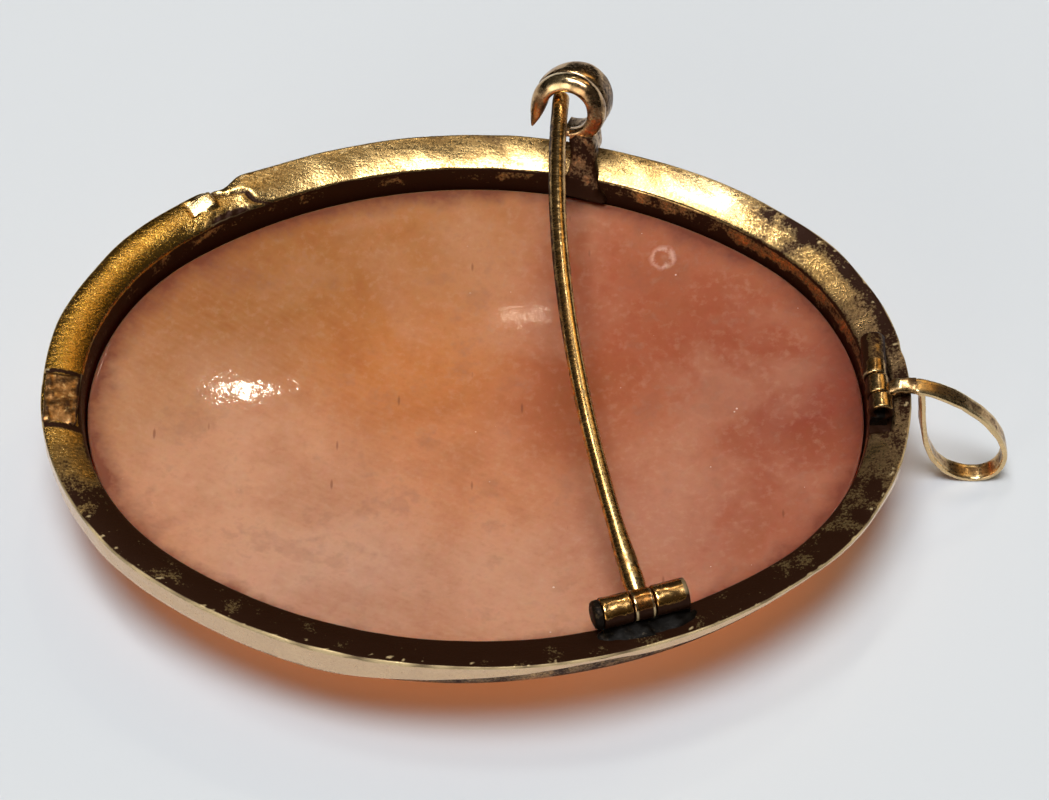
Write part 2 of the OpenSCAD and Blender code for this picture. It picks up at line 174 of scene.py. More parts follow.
# The light that soaks through the shell and comes out below it.
lamp("shell_glow", 0, 90, 0.0026, (0.040, 0.030), 0.0019, "#FF8C2C")

# Shell. One piece of helmet shell, ground to an oval with a hollow polished back. The layer that was
# carved away leaves an orange ground, and the pale layer over it is the bust on the front. Light soaks
# into it, and its back shows faint slanting growth lines and warm and pale clouds.

end_x = 7.5
end_r = 12.5
side_y = 10.0
side_r = 25.0
arcs_meet = 0.6
half_l = 20.0
half_w = 15.0
shell_gap = 0.06
front_edge_z = 3.8
front_dome = 2.8
back_edge_z = 5.1
back_hollow = 1.8


def oval(angle, out):
    """The place out mm outside the shell's edge, where the edge's outward normal has the angle in radians.

    The oval is four arcs: centre (+-7.5, 0) and radius 12.5 at its ends, where |cos| is 0.6 or more, and
    centre (0, +-10) and radius 25 at its sides.
    """
    c, s = np.cos(angle), np.sin(angle)
    at_end = np.abs(c) >= arcs_meet
    far = np.where(at_end, end_r, side_r) + out
    centre_x = np.where(at_end, end_x * np.sign(c), 0)
    centre_y = np.where(at_end, 0, -side_y * np.sign(s))
    return centre_x + far * c, centre_y + far * s


def even_angles(count):
    """Normal angles of places spaced evenly along the oval: the inverse of its run of radius * angle."""
    dense = np.linspace(-math.pi, math.pi, 20001)
    radius = np.where(np.abs(np.cos(dense)) >= arcs_meet, end_r, side_r)
    run = np.concatenate([[0], np.cumsum((radius[1:] + radius[:-1]) / 2)])
    return np.interp(np.linspace(0, run[-1], count, endpoint=False), run, dense)


def step(value, low, high):
    """0 at low, 1 at high, and a smooth step between them."""
    t = np.clip((value - low) / (high - low), 0, 1)
    return t * t * (3 - 2 * t)


def hump(value, middle, reach):
    """A smooth hump: 1 at middle, and 0 from reach on either side of it."""
    return step(reach - np.abs(value - middle), 0, reach)


def ripples(points, size, seed, waves=12):
    """Smooth random heights, mostly -1 to 1: a sum of sine waves about size mm long that run every way."""
    rng = np.random.default_rng(seed)
    total = np.zeros(points.shape[:-1])
    for _ in range(waves):
        aim = rng.normal(size=points.shape[-1])
        aim *= 2 * math.pi / (size * rng.uniform(0.7, 1.5) * np.linalg.norm(aim))
        total += np.sin(points @ aim + rng.uniform(0, 2 * math.pi))
    return total / math.sqrt(waves)


def skin(rings, closed=False):
    """Points and faces over rings of shape (rings, places, 3). An open skin gets its ends closed."""
    rows, columns = rings.shape[:2]
    points = rings.reshape(-1, 3)
    r, c = np.meshgrid(np.arange(rows if closed else rows - 1), np.arange(columns), indexing="ij")
    r2, c2 = (r + 1) % rows, (c + 1) % columns
    quads = np.stack([row * columns + at for row, at in ((r, c), (r2, c), (r2, c2), (r, c2))], -1)
    faces = [quads.reshape(-1, 4)]
    if not closed:
        points = np.concatenate([points, rings[0].mean(0)[None], rings[-1].mean(0)[None]])
        one = np.arange(columns)
        two = (one + 1) % columns
        last_row = (rows - 1) * columns
        first, last = np.full(columns, rows * columns), np.full(columns, rows * columns + 1)
        faces += [np.stack([first, one, two], -1), np.stack([last, last_row + two, last_row + one], -1)]
    return points, faces


def joined(parts):
    """Several (points, faces) as one."""
    starts = np.cumsum([0] + [len(points) for points, _ in parts])
    faces = [f + start for start, part in zip(starts, parts) for f in outward(*part)]
    return np.concatenate([points for points, _ in parts]), faces


def outward(points, faces):
    """The faces, turned round if the volume that they close comes out negative."""
    volume = 0
    for f in faces:
        for k in range(1, f.shape[1] - 1):
            a, b, c = points[f[:, 0]], points[f[:, k]], points[f[:, k + 1]]
            volume += np.sum(a * np.cross(b, c))
    return [f[:, ::-1] for f in faces] if volume < 0 else faces


def add_piece(name, shape, paint, body, stands_for, layers, sharp=50):
    """A smooth piece from points in mm and faces. Edges over sharp degrees stay sharp, and each layer is
    a named value for each point.
    """
    points, faces = shape
    faces = outward(points, faces)
    mesh = bpy.data.meshes.new(name)
    mesh.from_pydata((points * MM).tolist(), [], [row for f in faces for row in f.tolist()])
    mesh.polygons.foreach_set("use_smooth", [True] * len(mesh.polygons))
    mesh.set_sharp_from_angle(angle=math.radians(sharp))
    for layer, values in layers.items():
        values = np.asarray(values, np.float32).ravel()
        values = np.concatenate([values, np.full(len(points) - len(values), values[-1])])
        mesh.attributes.new(layer, "FLOAT", "POINT").data.foreach_set("value", values)
    mesh.materials.append(paint)
    made = bpy.data.objects.new(name, mesh)
    bpy.context.scene.collection.objects.link(made)
    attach(made, body)
    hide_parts(stands_for)
    return made


# The bust's masses, as the source gives them: shares of the half length up and the half width right,
# half sizes in the same shares, an angle, and a rise in mm over the ground.
bust = [
    # up, right, long, wide, turn, rise
    (0.36, -0.03, 0.28, 0.38, 0, 1.15),
    (0.24, 0.14, 0.26, 0.26, 6, 1.10),
    (0.40, 0.20, 0.15, 0.19, 0, 1.10),
    (0.06, 0.14, 0.12, 0.24, 24, 1.00),
    (0.005, 0.29, 0.055, 0.085, 0, 1.00),
    (0.235, 0.36, 0.055, 0.10, -28, 1.00),
    (0.115, 0.345, 0.045, 0.075, 0, 0.85),
    (0.53, 0.04, 0.14, 0.36, -12, 1.70),
    (0.42, -0.26, 0.23, 0.24, 18, 1.75),
    (0.20, -0.20, 0.14, 0.16, 20, 1.30),
    (0.30, -0.54, 0.16, 0.20, 15, 2.20),
    (-0.10, -0.06, 0.30, 0.20, 6, 0.95),
    (-0.36, -0.02, 0.20, 0.48, 0, 1.15),
    (-0.42, -0.38, 0.20, 0.28, 24, 1.75),
    (-0.46, 0.32, 0.18, 0.30, -26, 1.65),
    (-0.60, 0.00, 0.13, 0.50, 0, 1.95),
    (-0.47, -0.22, 0.05, 0.40, 22, 1.95),
    (-0.52, 0.20, 0.05, 0.38, -24, 2.05),
    (-0.68, 0.00, 0.055, 0.40, 0, 2.35),
    (0.02, -0.36, 0.16, 0.11, -20, 1.30),
    (-0.18, -0.33, 0.14, 0.10, 6, 1.35),
    (0.60, -0.22, 0.05, 0.20, 26, 2.15),
]
hair_masses = (7, 8, 9, 10, 19, 20, 21)
dress_masses = (13, 14, 15, 16, 17, 18)

# The cuts and swells of the face: height in mm, and then as for the masses.
features = [
    (0.20, 0.305, 0.235, 0.030, 0.060, 0),  # ridge over the eye
    (-0.26, 0.262, 0.205, 0.060, 0.085, 0),  # hollow of the eye
    (0.22, 0.262, 0.222, 0.024, 0.042, 0),  # lid
    (-0.12, 0.255, 0.222, 0.008, 0.046, 6),  # line of the closed eye
    (0.14, 0.330, 0.215, 0.018, 0.085, 8),  # brow
    (-0.12, 0.185, 0.335, 0.014, 0.030, 0),  # nostril
    (0.10, 0.128, 0.350, 0.018, 0.050, 0),  # upper lip
    (0.10, 0.092, 0.345, 0.018, 0.045, 0),  # lower lip
    (-0.14, 0.110, 0.345, 0.007, 0.055, 0),  # line of the mouth
    (-0.12, 0.050, 0.315, 0.018, 0.050, 0),  # hollow over the chin
]


def off_place(u, v, place_up, place_right, long, wide, angle=0):
    """How far u, v is off a place, squared: 0 at the place itself and 1 on its ellipse."""
    c, s = math.cos(math.radians(angle)), math.sin(math.radians(angle))
    a, b = u - place_up, v - place_right
    return ((a * c + b * s) / long) ** 2 + ((b * c - a * s) / wide) ** 2


def mass_heights(u, v):
    """Height in mm of each mass at the share place u, v: rise * sqrt(1 - q), where q is how far off it is."""
    return np.array([rise * np.sqrt(np.clip(1 - off_place(u, v, *place), 0, 1)) for *place, rise in bust])


def spot(u, v, *place):
    """A smooth dimple or bump: 1 at its place, 0 on its ellipse."""
    return np.clip(1 - off_place(u, v, *place), 0, 1) ** 2


def whorl(along, across, stretch, strands, bends, bend):
    """Phase of strands of hair that run round a middle, from the shares along and across from it."""
    return strands * np.hypot(stretch * along, across) + bend * np.sin(bends * np.arctan2(across, along))


def carving(x, y):
    """Height of the carving over the ground.

    The masses join as a sum of fourth powers. Hair gets waved strands, the dress gets folds, and the face a
    closed eye, a brow, a nostril, lips and an ear, all as shallow cuts and swells.
    """
    u, v = x / half_l, y / half_w
    rises = mass_heights(u, v)
    whole = np.sum(rises ** 4, 0) ** 0.25
    hair = np.max(rises[list(hair_masses)], 0)
    dress = np.max(rises[list(dress_masses)], 0)
    skin_rise = np.max(np.delete(rises, hair_masses + dress_masses, 0), 0)
    hair_share = step(hair - np.maximum(dress, skin_rise), -0.05, 0.12)
    dress_share = step(dress - np.maximum(hair, skin_rise), -0.05, 0.12)
    crown_run = whorl(u - 0.36, v + 0.04, stretch=1.25, strands=46, bends=9, bend=2.6)
    knot_run = whorl(u - 0.30, v + 0.54, stretch=1.3, strands=62, bends=3, bend=1.4)
    lock_run = 70 * (v + 0.34) + 3.0 * np.sin(16 * u)
    strand = np.where(v < -0.40, np.sin(knot_run), np.where(u < 0.14, np.sin(lock_run), np.sin(crown_run)))
    fold_run = 34 * (u + 0.55 + 0.9 * np.abs(v + 0.02) ** 1.5) + 1.2 * np.sin(7 * v + 0.8)
    whole = whole + whole * hair_share * 0.085 * strand + whole * dress_share * 0.07 * np.sin(fold_run)
    face = sum(height * spot(u, v, *place) for height, *place in features)
    ear = spot(u, v, 0.215, -0.035, 0.070, 0.055) - 1.1 * spot(u, v, 0.218, -0.030, 0.042, 0.030)
    return whole + (face * (1 - hair_share) + 0.22 * ear) * step(whole, 0.2, 0.6)


around = 400
shell_angles = even_angles(around)
edge_x, edge_y = oval(shell_angles, -shell_gap)
edge = np.stack([edge_x, edge_y], -1)

back_shares = np.concatenate([[0.004], np.linspace(0.02, 0.97, 70), [0.98, 0.99, 0.995]])
front_shares = np.concatenate([[0.995, 0.99, 0.98], np.linspace(0.97, 0.02, 128), [0.004]])


def at_shares(shares):
    """x and y at each share of the way from the middle to the edge."""
    return shares[:, None, None] * edge[None]


back_xy = at_shares(back_shares)
back_z = back_edge_z - back_hollow * (1 - back_shares ** 2)
wave = 0.006 * ripples(back_xy, 6, seed=3) * (1 - back_shares[:, None] ** 4)
back_rings = np.concatenate([back_xy, (back_z[:, None] + wave)[..., None]], -1)
front_xy = at_shares(front_shares)
front_ground = front_edge_z - front_dome * (1 - front_shares ** 2)
rise = carving(front_xy[..., 0], front_xy[..., 1])
front_rings = np.concatenate([front_xy, np.maximum(0, front_ground[:, None] - rise)[..., None]], -1)
edge_heights = np.linspace(back_edge_z - 0.05, front_edge_z + 0.05, 5)
edge_rings = np.stack([np.concatenate([edge, np.full((around, 1), h)], -1) for h in edge_heights])
shell_rings = np.concatenate([back_rings, edge_rings, front_rings])

# Clouds of the back, placed one by one. The first row is the base, which reaches everywhere.
clouds = [
    # x, y, reach in mm, colour
    (0.0, 0.0, 60.0, "#C98B69"),
    (-4.0, 4.2, 5.0, "#C97C40"),
    (-9.0, 9.5, 5.5, "#A56C36"),
    (-14.0, 7.0, 4.5, "#A86E3C"),
    (-17.0, 1.0, 3.5, "#B88258"),
    (-3.0, 11.5, 4.5, "#B37641"),
    (-11.0, -3.5, 5.5, "#D29C7B"),
    (-7.0, -10.5, 5.0, "#C79A82"),
    (0.5, -11.0, 5.0, "#CB9577"),
    (-0.5, -3.5, 4.0, "#CB875F"),
    (8.0, 7.0, 5.0, "#A45336"),
    (5.5, 1.0, 4.0, "#A85C3C"),
    (13.0, 4.5, 4.0, "#994B34"),
    (17.5, 0.5, 3.5, "#86352A"),
    (15.0, -5.0, 4.5, "#A45C46"),
    (9.5, -7.5, 4.5, "#B0705A"),
]
base_weight = 0.12
cloud_spread = 0.62
shell_x, shell_y, _ = shell_rings.reshape(-1, 3).T
weights = np.array([
    np.exp(-((shell_x - x) ** 2 + (shell_y - y) ** 2) / (2 * (cloud_spread * reach) ** 2))
    for x, y, reach, _ in clouds
])
weights[0] *= base_weight
weights /= weights.sum(0)
cloud_colours = weights.T @ np.array([srgb(colour) for *_, colour in clouds])

# Polished shell: glossy, with a clear thin polish over a softer body that light soaks into.
shell_paint, shader, add = new_paint("polished_helmet_shell", {
    "Roughness": 0.42,
    "IOR": 1.53,
    "Specular IOR Level": 0.04,
    "Subsurface Weight": 0.9,
    "Subsurface Radius": (1.0, 0.36, 0.17),
    "Subsurface Scale": 2 * MM,
    "Coat Weight": 0.32,
    "Coat Roughness": 0.045,
    "Coat IOR": 1.5,
})
where = add("TexCoord", out="Object")
cloud = add("Attribute", attribute_name="cloud")
lined, dusty, dirt_and_shade, behind, over_ground = (
    add("Attribute", out="Fac", attribute_name=layer)
    for layer in ("lined", "dusty", "rim_dirt_and_shade", "behind", "rise"))
mottle, haze, fine_mottle = (add("TexNoise", {
    "Vector": where, "Scale": 1 / (size * MM), "Detail": detail, "Roughness": rough, "Distortion": swirl,
}) for size, detail, rough, swirl in ((2.6, 4, 0.62, 0), (7.0, 4, 0.55, 0.6), (0.45, 3, 0.6, 0)))
# Growth lines run from lower left to upper right, about 0.4 mm apart.
line_gap = 0.38
line_turn = math.radians(-62)
lines_at = add("Mapping", {"Vector": where, "Rotation": (0, 0, line_turn)})
lines = add("TexWave", {
    "Vector": lines_at, "Scale": 0.314 / (line_gap * MM), "Distortion": 3.5, "Detail": 2, "Detail Scale": 0.7,
}, out="Fac", wave_type="BANDS", bands_direction="X")
line_share = add("Math", [lines, lined], operation="MULTIPLY")
# Dust, most of it right of the pin, and dark specks like short hairs.
dust = add("TexVoronoi", {"Vector": where, "Scale": 1 / (0.9 * MM)})
dust_size = add("MapRange", [mottle, 0.47, 0.7, 0, 0.10])
is_dust = add("Math", [dust, dust_size], operation="LESS_THAN")
dust_share = add("Math", [is_dust, dusty], operation="MULTIPLY")
hair_at = add("Mapping", {"Vector": where, "Rotation": (0, 0, 0.9), "Scale": (1, 0.22, 1)})
specks = add("TexVoronoi", {"Vector": hair_at, "Scale": 1 / (1.5 * MM)})
speck_share = add("MapRange", [specks, 0.06, 0.03, 0, 0.6])
# Darker towards the edge: dirt that has settled there, and painted shade where the flange and inner wall
# shade the shell.
for pattern, low, high, most in ((mottle, 0.35, 0.65, 0.30), (fine_mottle, 0.3, 0.7, 0.12)):
    more = add("MapRange", [pattern, low, high, -most, most])
    dirt_and_shade = add("Math", [dirt_and_shade, more], operation="ADD")
dirt_and_shade_share = add("MapRange", [dirt_and_shade, 0.10, 0.95, 0, 0.85])
# The chip, a small ring-shaped scar.
chip = (9.87, 10.62)
chip_at = add("Mapping", {"Vector": where, "Location": (-chip[0] * MM, -chip[1] * MM, 0)})
chip_flat = add("VectorMath", [chip_at, (1, 1, 0)], operation="MULTIPLY")
chip_far = add("VectorMath", [chip_flat], out=1, operation="LENGTH")
uneven = add("MapRange", [fine_mottle, 0.3, 0.7, -0.12 * MM, 0.12 * MM])
chip_far = add("Math", [chip_far, uneven], operation="ADD")
chip_ring = add("MapRange", [chip_far, 0.38 * MM, 0.55 * MM])
for limit in (add("MapRange", [chip_far, 0.78 * MM, 0.62 * MM]), behind):
    chip_ring = add("Math", [chip_ring, limit], operation="MULTIPLY")
chipped = add("MapRange", [fine_mottle, 0.35, 0.6, 0.12, 0.6])
chip_share = add("Math", [chip_ring, chipped], operation="MULTIPLY")
stains = [(add("MapRange", [pattern, low, high, 0, most]), tint) for pattern, low, high, most, tint in (
    (mottle, 0.45, 0.75, 0.18, "#D6A07E"),
    (mottle, 0.58, 0.30, 0.22, "#9A5432"),
    (haze, 0.50, 0.68, 0.26, "#D3A184"),
    (haze, 0.50, 0.34, 0.30, "#9C5A34"),
    (fine_mottle, 0.52, 0.75, 0.16, "#DDB79C"),
    (fine_mottle, 0.46, 0.28, 0.14, "#8E4A2C"),
)]
colour = cloud
for share, tint in (*stains, (line_share, "#DDB094"), (dust_share, "#F1DCD0"), (speck_share, "#7A4A36"),
                    (dirt_and_shade_share, "#75392A"), (chip_share, "#E3BBA8")):
    colour = add("Mix", {0: share, 6: colour, 7: tint}, out=2, data_type="RGBA")
# The front: orange ground, and a pale layer on all that stands over it.
front = "#C97A4E"
for pattern, low, high, tint in (
    (fine_mottle, 0.3, 0.7, "#BC6B42"),
    (over_ground, 0.06, 0.55, "#E9C9AE"),
    (over_ground, 0.5, 1.1, "#F3E6D6"),
):
    share = add("MapRange", [pattern, low, high])
    front = add("Mix", {0: share, 6: front, 7: tint}, out=2, data_type="RGBA")
colour = add("Mix", {0: behind, 6: front, 7: colour}, out=2, data_type="RGBA")
# Fine wiping scratches, and the slightly uneven polish.
scratch_at = add("Mapping", {"Vector": where, "Rotation": (0, 0, 0.5), "Scale": (1, 9, 1)})
scratches = add("TexNoise", {"Vector": scratch_at, "Scale": 1 / (3 * MM), "Detail": 5, "Roughness": 0.75})
rough = add("MapRange", [mottle, 0.3, 0.7, 0.34, 0.46])
scratched = add("MapRange", [scratches, 0.55, 0.8, 0, 0.12])
rough = add("Math", [rough, scratched], operation="ADD")
bump = add("Bump", {"Strength": 0.5, "Distance": 0.012 * MM, "Height": line_share})
bump = add("Bump", {"Strength": 0.7, "Distance": 0.05 * MM, "Height": chip_ring, "Normal": bump}, invert=True)
bump = add("Bump", {"Strength": 0.5, "Distance": 0.004 * MM, "Height": scratches, "Normal": bump})
polish = add("TexNoise", {"Vector": where, "Scale": 1 / (0.8 * MM), "Detail": 4, "Roughness": 0.6})
polish = add("Bump", {"Strength": 0.6, "Distance": 0.013 * MM, "Height": polish})


def feed(shader, outputs):
    """Links each output to the shader's input of that name."""
    for name, output in outputs.items():
        shader.id_data.links.new(output, shader.inputs[name])


feed(shader, {"Base Color": colour, "Roughness": rough, "Normal": bump, "Coat Normal": polish})

rows = (len(back_rings), len(edge_rings), len(front_rings))
to_edge = np.concatenate([back_shares, np.ones(rows[1]), np.zeros(rows[2])])[:, None] + np.zeros(around)
x_of, y_of = shell_rings[..., 0], shell_rings[..., 1]
shell = add_piece("cameo_shell_carved", skin(shell_rings), shell_paint, "mount", "cameo_shell", {
    "rise": np.concatenate([np.zeros((rows[0] + rows[1], around)), rise]),
    "behind": np.repeat([1.0, 0.0], [(rows[0] + 1) * around, (rows[1] - 1 + rows[2]) * around]),
    # darker towards the edge: dirt, and painted shade of the flange
    "rim_dirt_and_shade": 1.1 * np.clip((to_edge - 0.90) / 0.10, 0, 1) ** 1.6,
    "lined": 0.035 * step(-0.75 * x_of - y_of, -6, 3) * step(x_of, 9, 2),
    "dusty": step(x_of, -2, 6) * 0.7 + 0.12,
}, sharp=70)
colours = np.concatenate([cloud_colours, cloud_colours[:1], cloud_colours[-1:]]).astype(np.float32)
shell.data.attributes.new("cloud", "FLOAT_COLOR", "POINT").data.foreach_set("color", colours.ravel())

# Mount. A strip of yellow gold about 0.3 mm thick, folded into a ring with a sloping flange on top, a
# smooth outer wall and an inner wall that drops to the shell, soldered at the left. It is worn bright
# along its edges, grainy and yellow at the left, and grimy where the inner wall meets the shell. Its
# colour also carries painted light: painted shade inside the wall, over the flange and most on its near
# side, under the flange and in the notch; painted highlights across the flange's far right and on a facet
# at the seam; painted glints in the grain; a yellow at the left that is partly painted warm light; and a
# paler outer wall that is partly a painted reflection.


def worn_gold(name, bright, dull, grain_mm, grain_depth, rough, patch_mm=0.7, speckle=0.5, soot="#2C160A"):
    """Gold that was polished once and has been worn since. Four layers of a piece steer it. The first, from
    clean at 0 to black-brown at 1, is tarnish and grime, and also painted shade and painted dark reflections
    where a piece puts them. The second makes it pale at 1, for wear and for painted highlights. The third is
    grain, the yellow skin of unpolished metal; its pale and dark speckles are painted glints and painted
    shade, and its yellow is partly painted warm light. The fourth is a pink tint, partly a painted
    reflection. A layer that a piece has not counts as 0.
    """
    paint, shader, add = new_paint(name, {"Metallic": 1.0, "Roughness": rough})
    where = add("TexCoord", out="Object")
    grain = add("TexNoise", {"Vector": where, "Scale": 1 / (grain_mm * MM), "Detail": 3, "Roughness": 0.65})
    patches = add("TexNoise", {
        "Vector": where, "Scale": 1 / (patch_mm * MM), "Detail": 4, "Roughness": 0.6, "Distortion": 0.4,
    })
    scratch_at = add("Mapping", {"Vector": where, "Rotation": (0.4, 0.2, 0.7), "Scale": (1, 7, 1)})
    scratches = add("TexNoise", {
        "Vector": scratch_at, "Scale": 1 / (1.1 * MM), "Detail": 4, "Roughness": 0.7,
    })
    tarnish_and_shade, wear_and_highlight, grain_and_glints, rosy_and_reflection = (
        add("Attribute", out="Fac", attribute_name=layer) for layer in ("tarnish_and_shade", "wear_and_highlight", "grain_and_glints", "rosy_and_reflection"))
    patchy = add("MapRange", [patches, 0.32, 0.68])
    # Pale and dark speckles of the grain, stronger where the grain layer is high: painted glints and painted
    # shade of rough metal.
    speckles = add("Math", [grain_and_glints, 0.5], operation="ADD")
    speckles = add("Math", [speckles, speckle], operation="MULTIPLY")
    dark_grain_shade, pale_grain_glints = (add("Math", [add("MapRange", [grain, *span]), speckles], operation="MULTIPLY")
                              for span in ((0.50, 0.62), (0.46, 0.30)))
    # A yellow tint where the grain layer is high, partly painted warm light.
    yellow = add("MapRange", [grain_and_glints, 0.45, 1.0, 0, 0.75])
    # Black-brown: grime, and painted shade and dark reflections where a piece paints them.
    edge = tarnish_and_shade
    for pattern, most in ((patches, 0.28), (grain, 0.16)):
        more = add("MapRange", [pattern, 0.3, 0.7, -most, most])
        edge = add("Math", [edge, more], operation="ADD")
    grime_and_shade = add("MapRange", [edge, 0.35, 0.85])
    # Pale: real wear on edges, and painted highlights where a piece paints them.
    rubbed_and_highlight = add("MapRange", [wear_and_highlight, 0.3, 1.0, 0, 0.8])
    colour = bright
    for share, tint in ((patchy, dull), (dark_grain_shade, "#57390F"), (pale_grain_glints, "#F2DAA0"), (yellow, "#D09A36"),
                        (rosy_and_reflection, "#E2BCA0"), (grime_and_shade, soot), (rubbed_and_highlight, "#EBCF9C")):
        colour = add("Mix", {0: share, 6: colour, 7: tint}, out=2, data_type="RGBA")
    metallic = add("MapRange", [grime_and_shade, 0.4, 1.0, 1.0, 0.35])
    gloss = add("MapRange", [grime_and_shade, 0.4, 1.0, 0.5, 0.12])
    blur = add("MapRange", [grain, 0.3, 0.7, rough - 0.08, rough + 0.10])
    for more in (add("Math", [grime_and_shade, 0.25], operation="MULTIPLY"),
                 add("MapRange", [scratches, 0.4, 0.75, -0.04, 0.10])):
        blur = add("Math", [blur, more], operation="ADD")
    low_scratches = add("Math", [scratches, 0.6], operation="MULTIPLY")
    height = add("Math", [grain, low_scratches], operation="ADD")
    depth = add("Math", [grain_and_glints, 0.25], operation="ADD")
    depth = add("Math", [depth, 0.7 * grain_depth * MM], operation="MULTIPLY")
    bump = add("Bump", {"Strength": 1.0, "Distance": depth, "Height": height})
    feed(shader, {"Base Color": colour, "Metallic": metallic, "Specular IOR Level": gloss, "Roughness": blur,
                  "Normal": bump})
    return paint


mount_gold = worn_gold(
    "worn_yellow_gold", "#D0AE74", "#A88552", 0.14, 0.034, 0.20, patch_mm=1.6, speckle=0.6)

rim_w = 2.2
rim_inner_z = 6.45
inner_wall_out = 0.08
lip_w = 0.6
lip_z = 3.08
ring_count = 900
ring_angles = even_angles(ring_count)
ring_deg = np.degrees(ring_angles)


def round_the_ring(places, spread=5):
    """Values at the ring's angles from rows of (angle, value), smoothed over spread degrees."""
    values = np.interp(ring_deg, *zip(*sorted(places)), period=360)
    half_degrees = np.arange(-180, 180, 0.5)
    dense = np.interp(half_degrees, ring_deg, values, period=360)
    kernel = np.hanning(4 * spread + 1)
    dense = np.convolve(np.pad(dense, 2 * spread, mode="wrap"), kernel / kernel.sum(), mode="valid")
    return np.interp(ring_deg, half_degrees, dense, period=360)


def ring_hump(middle, reach):
    """A smooth hump over the ring's angles: 1 at middle, and 0 from reach degrees on either side of it."""
    away = (ring_deg - middle + 180) % 360 - 180
    return hump(away, 0, reach)


# The outer wall is as deep as the strip was bent: deepest left of the front, a sliver right of it.
wall_depth = round_the_ring([
    (-150, 1.3), (-128, 1.55), (-113, 1.85), (-105, 1.95), (-98, 1.5), (-87, 0.9), (-80, 0.42), (-76, 0.36),
    (-70, 0.75), (-65, 0.7), (-58, 0.4), (-50, 0.3), (-30, 0.5), (0, 1.0), (60, 1.2), (150, 1.2),
])
flange_bulge = round_the_ring([
    (-170, 0.20), (-90, 0.03), (0, 0.05), (90, 0.05), (115, 0.08), (130, 0.30), (165, 0.30),
])
inner_out = 0.22 - 0.36 * ring_hump(-69.5, 5) + 0.05 * ring_hump(-50, 14)
outer_out = rim_w - 0.26 * ring_hump(120.2, 2.6) + 0.05 * ring_hump(116, 3) - 0.06 * ring_hump(10.8, 2.5)
outer_out = outer_out + 0.035 * ripples(np.stack([ring_angles * 12, 0 * ring_angles], -1), 4, seed=5)
outer_z = rim_z - 0.16 * ring_hump(120.5, 2.8) + 0.10 * ring_hump(117.5, 2.2)
inner_z = rim_inner_z + 0.10 * ring_hump(123, 4) - 0.12 * ring_hump(-69.5, 5)
zeros = np.zeros(ring_count)
# Right of the front the strip is tucked further in below the flange.
tucked = round_the_ring([(-110, 0), (-92, 0.6), (-80, 1), (-45, 1), (-20, 0.3), (0, 0), (180, 0)], 8)
corners = np.array([
    # inner top edge, outer top edge, foot of the outer wall, bottom inside it, and the lip under the shell
    (inner_out, inner_z),
    (outer_out, outer_z),
    (outer_out - 0.02, outer_z - wall_depth),
    (1.15 - 0.45 * tucked, 5.14 + 0.3 * tucked),
    (0.99 - 0.60 * tucked, 3.48 + zeros),
    (0.66 - 0.40 * tucked, lip_z - 0.15 + zeros),
    (-lip_w + zeros, lip_z - 0.15 + zeros),
    (-lip_w + zeros, 3.33 + zeros),
    (inner_wall_out + zeros, 3.64 + zeros),
    (inner_wall_out + zeros, 5.775 + zeros),
])
corner_round = (0.13, 0.12, 0.10, 0.25, 0.2, 0.15, 0.08, 0.08, 0.06, 0.5)
side_steps = (22, 7, 5, 5, 3, 5, 2, 3, 9, 3)


def rounded_section(corners, rounding, steps):
    """A closed section for every ring angle, of shape (angles, places, 2), from (corners, 2, angles).

    Each corner is a quadratic Bezier curve that starts and ends its rounding away from it, and each side
    between two corners has its number of steps.
    """
    places = []
    count = len(corners)
    for k in range(count):
        here, before, after = (corners[(k + j) % count] for j in (0, -1, 1))
        to_before, to_after = before - here, after - here
        far_before, far_after = np.linalg.norm(to_before, axis=0), np.linalg.norm(to_after, axis=0)
        start = here + to_before * np.minimum(rounding[k] / far_before, 0.45)
        end = here + to_after * np.minimum(rounding[k] / far_after, 0.45)
        for t in np.linspace(0, 1, 5):
            places.append((1 - t) ** 2 * start + 2 * t * (1 - t) * here + t * t * end)
        next_start = after - to_after * np.minimum(rounding[(k + 1) % count] / far_after, 0.45)
        for t in np.linspace(0, 1, steps[k] + 2)[1:-1]:
            places.append(end + (next_start - end) * t)
    return np.array(places).transpose(2, 0, 1)


section = rounded_section(corners, corner_round, side_steps)
out, z = section[..., 0], section[..., 1]
across_top = np.clip((out - inner_out[:, None]) / (outer_out - inner_out)[:, None], 0, 1)
is_top = (np.arange(section.shape[1]) < side_steps[0] + 10) * step(z, 6.0, 6.3)
bulge = flange_bulge[:, None] * 4 * across_top * (1 - across_top)
x, y = oval(ring_angles[:, None], out)
surface = np.stack([x, y, z], -1)
dents = 0.016 * ripples(surface, 3.2, seed=11) + 0.004 * ripples(surface, 1.1, seed=12)
roughened = 0.004 * ripples(surface, 0.34, seed=13, waves=20) * (0.3 + 0.7 * ring_hump(160, 62)[:, None])
z = z + is_top * (bulge + dents + roughened)
# The seam: it runs aslant from the notch in the outer edge, and the strip's right end laps over the left
# one, with a crumpled crease inside it and a flat facet beside it, painted bright as a painted highlight.
seam_at = 115.6 + 5.6 * across_top + 0.5 * np.sin(9 * across_top)
past_seam = ring_deg[:, None] - seam_at
z = z + is_top * 0.09 * step(-past_seam, -0.2, 0.2) * step(past_seam, -6, 0) * (0.4 + 0.6 * across_top)
crack = hump(past_seam, 0.15, 0.55)
z = z - is_top * 0.10 * crack
fold = hump(ring_deg[:, None], 121.4, 5.2) * step(0.80 - out, 0, 0.45)
pleat = 0.5 + 0.5 * ripples(surface, 0.55, seed=14, waves=16)
z = z + is_top * fold * (0.10 * pleat - 0.08)
facet_deg, facet_out = 123.4, 1.5
facet = step(1.9 - np.abs(ring_deg[:, None] - facet_deg), 0, 0.5)
facet = facet * step(0.52 - np.abs(out - facet_out), 0, 0.12)
facet_x, facet_y = oval(np.radians(facet_deg), facet_out)
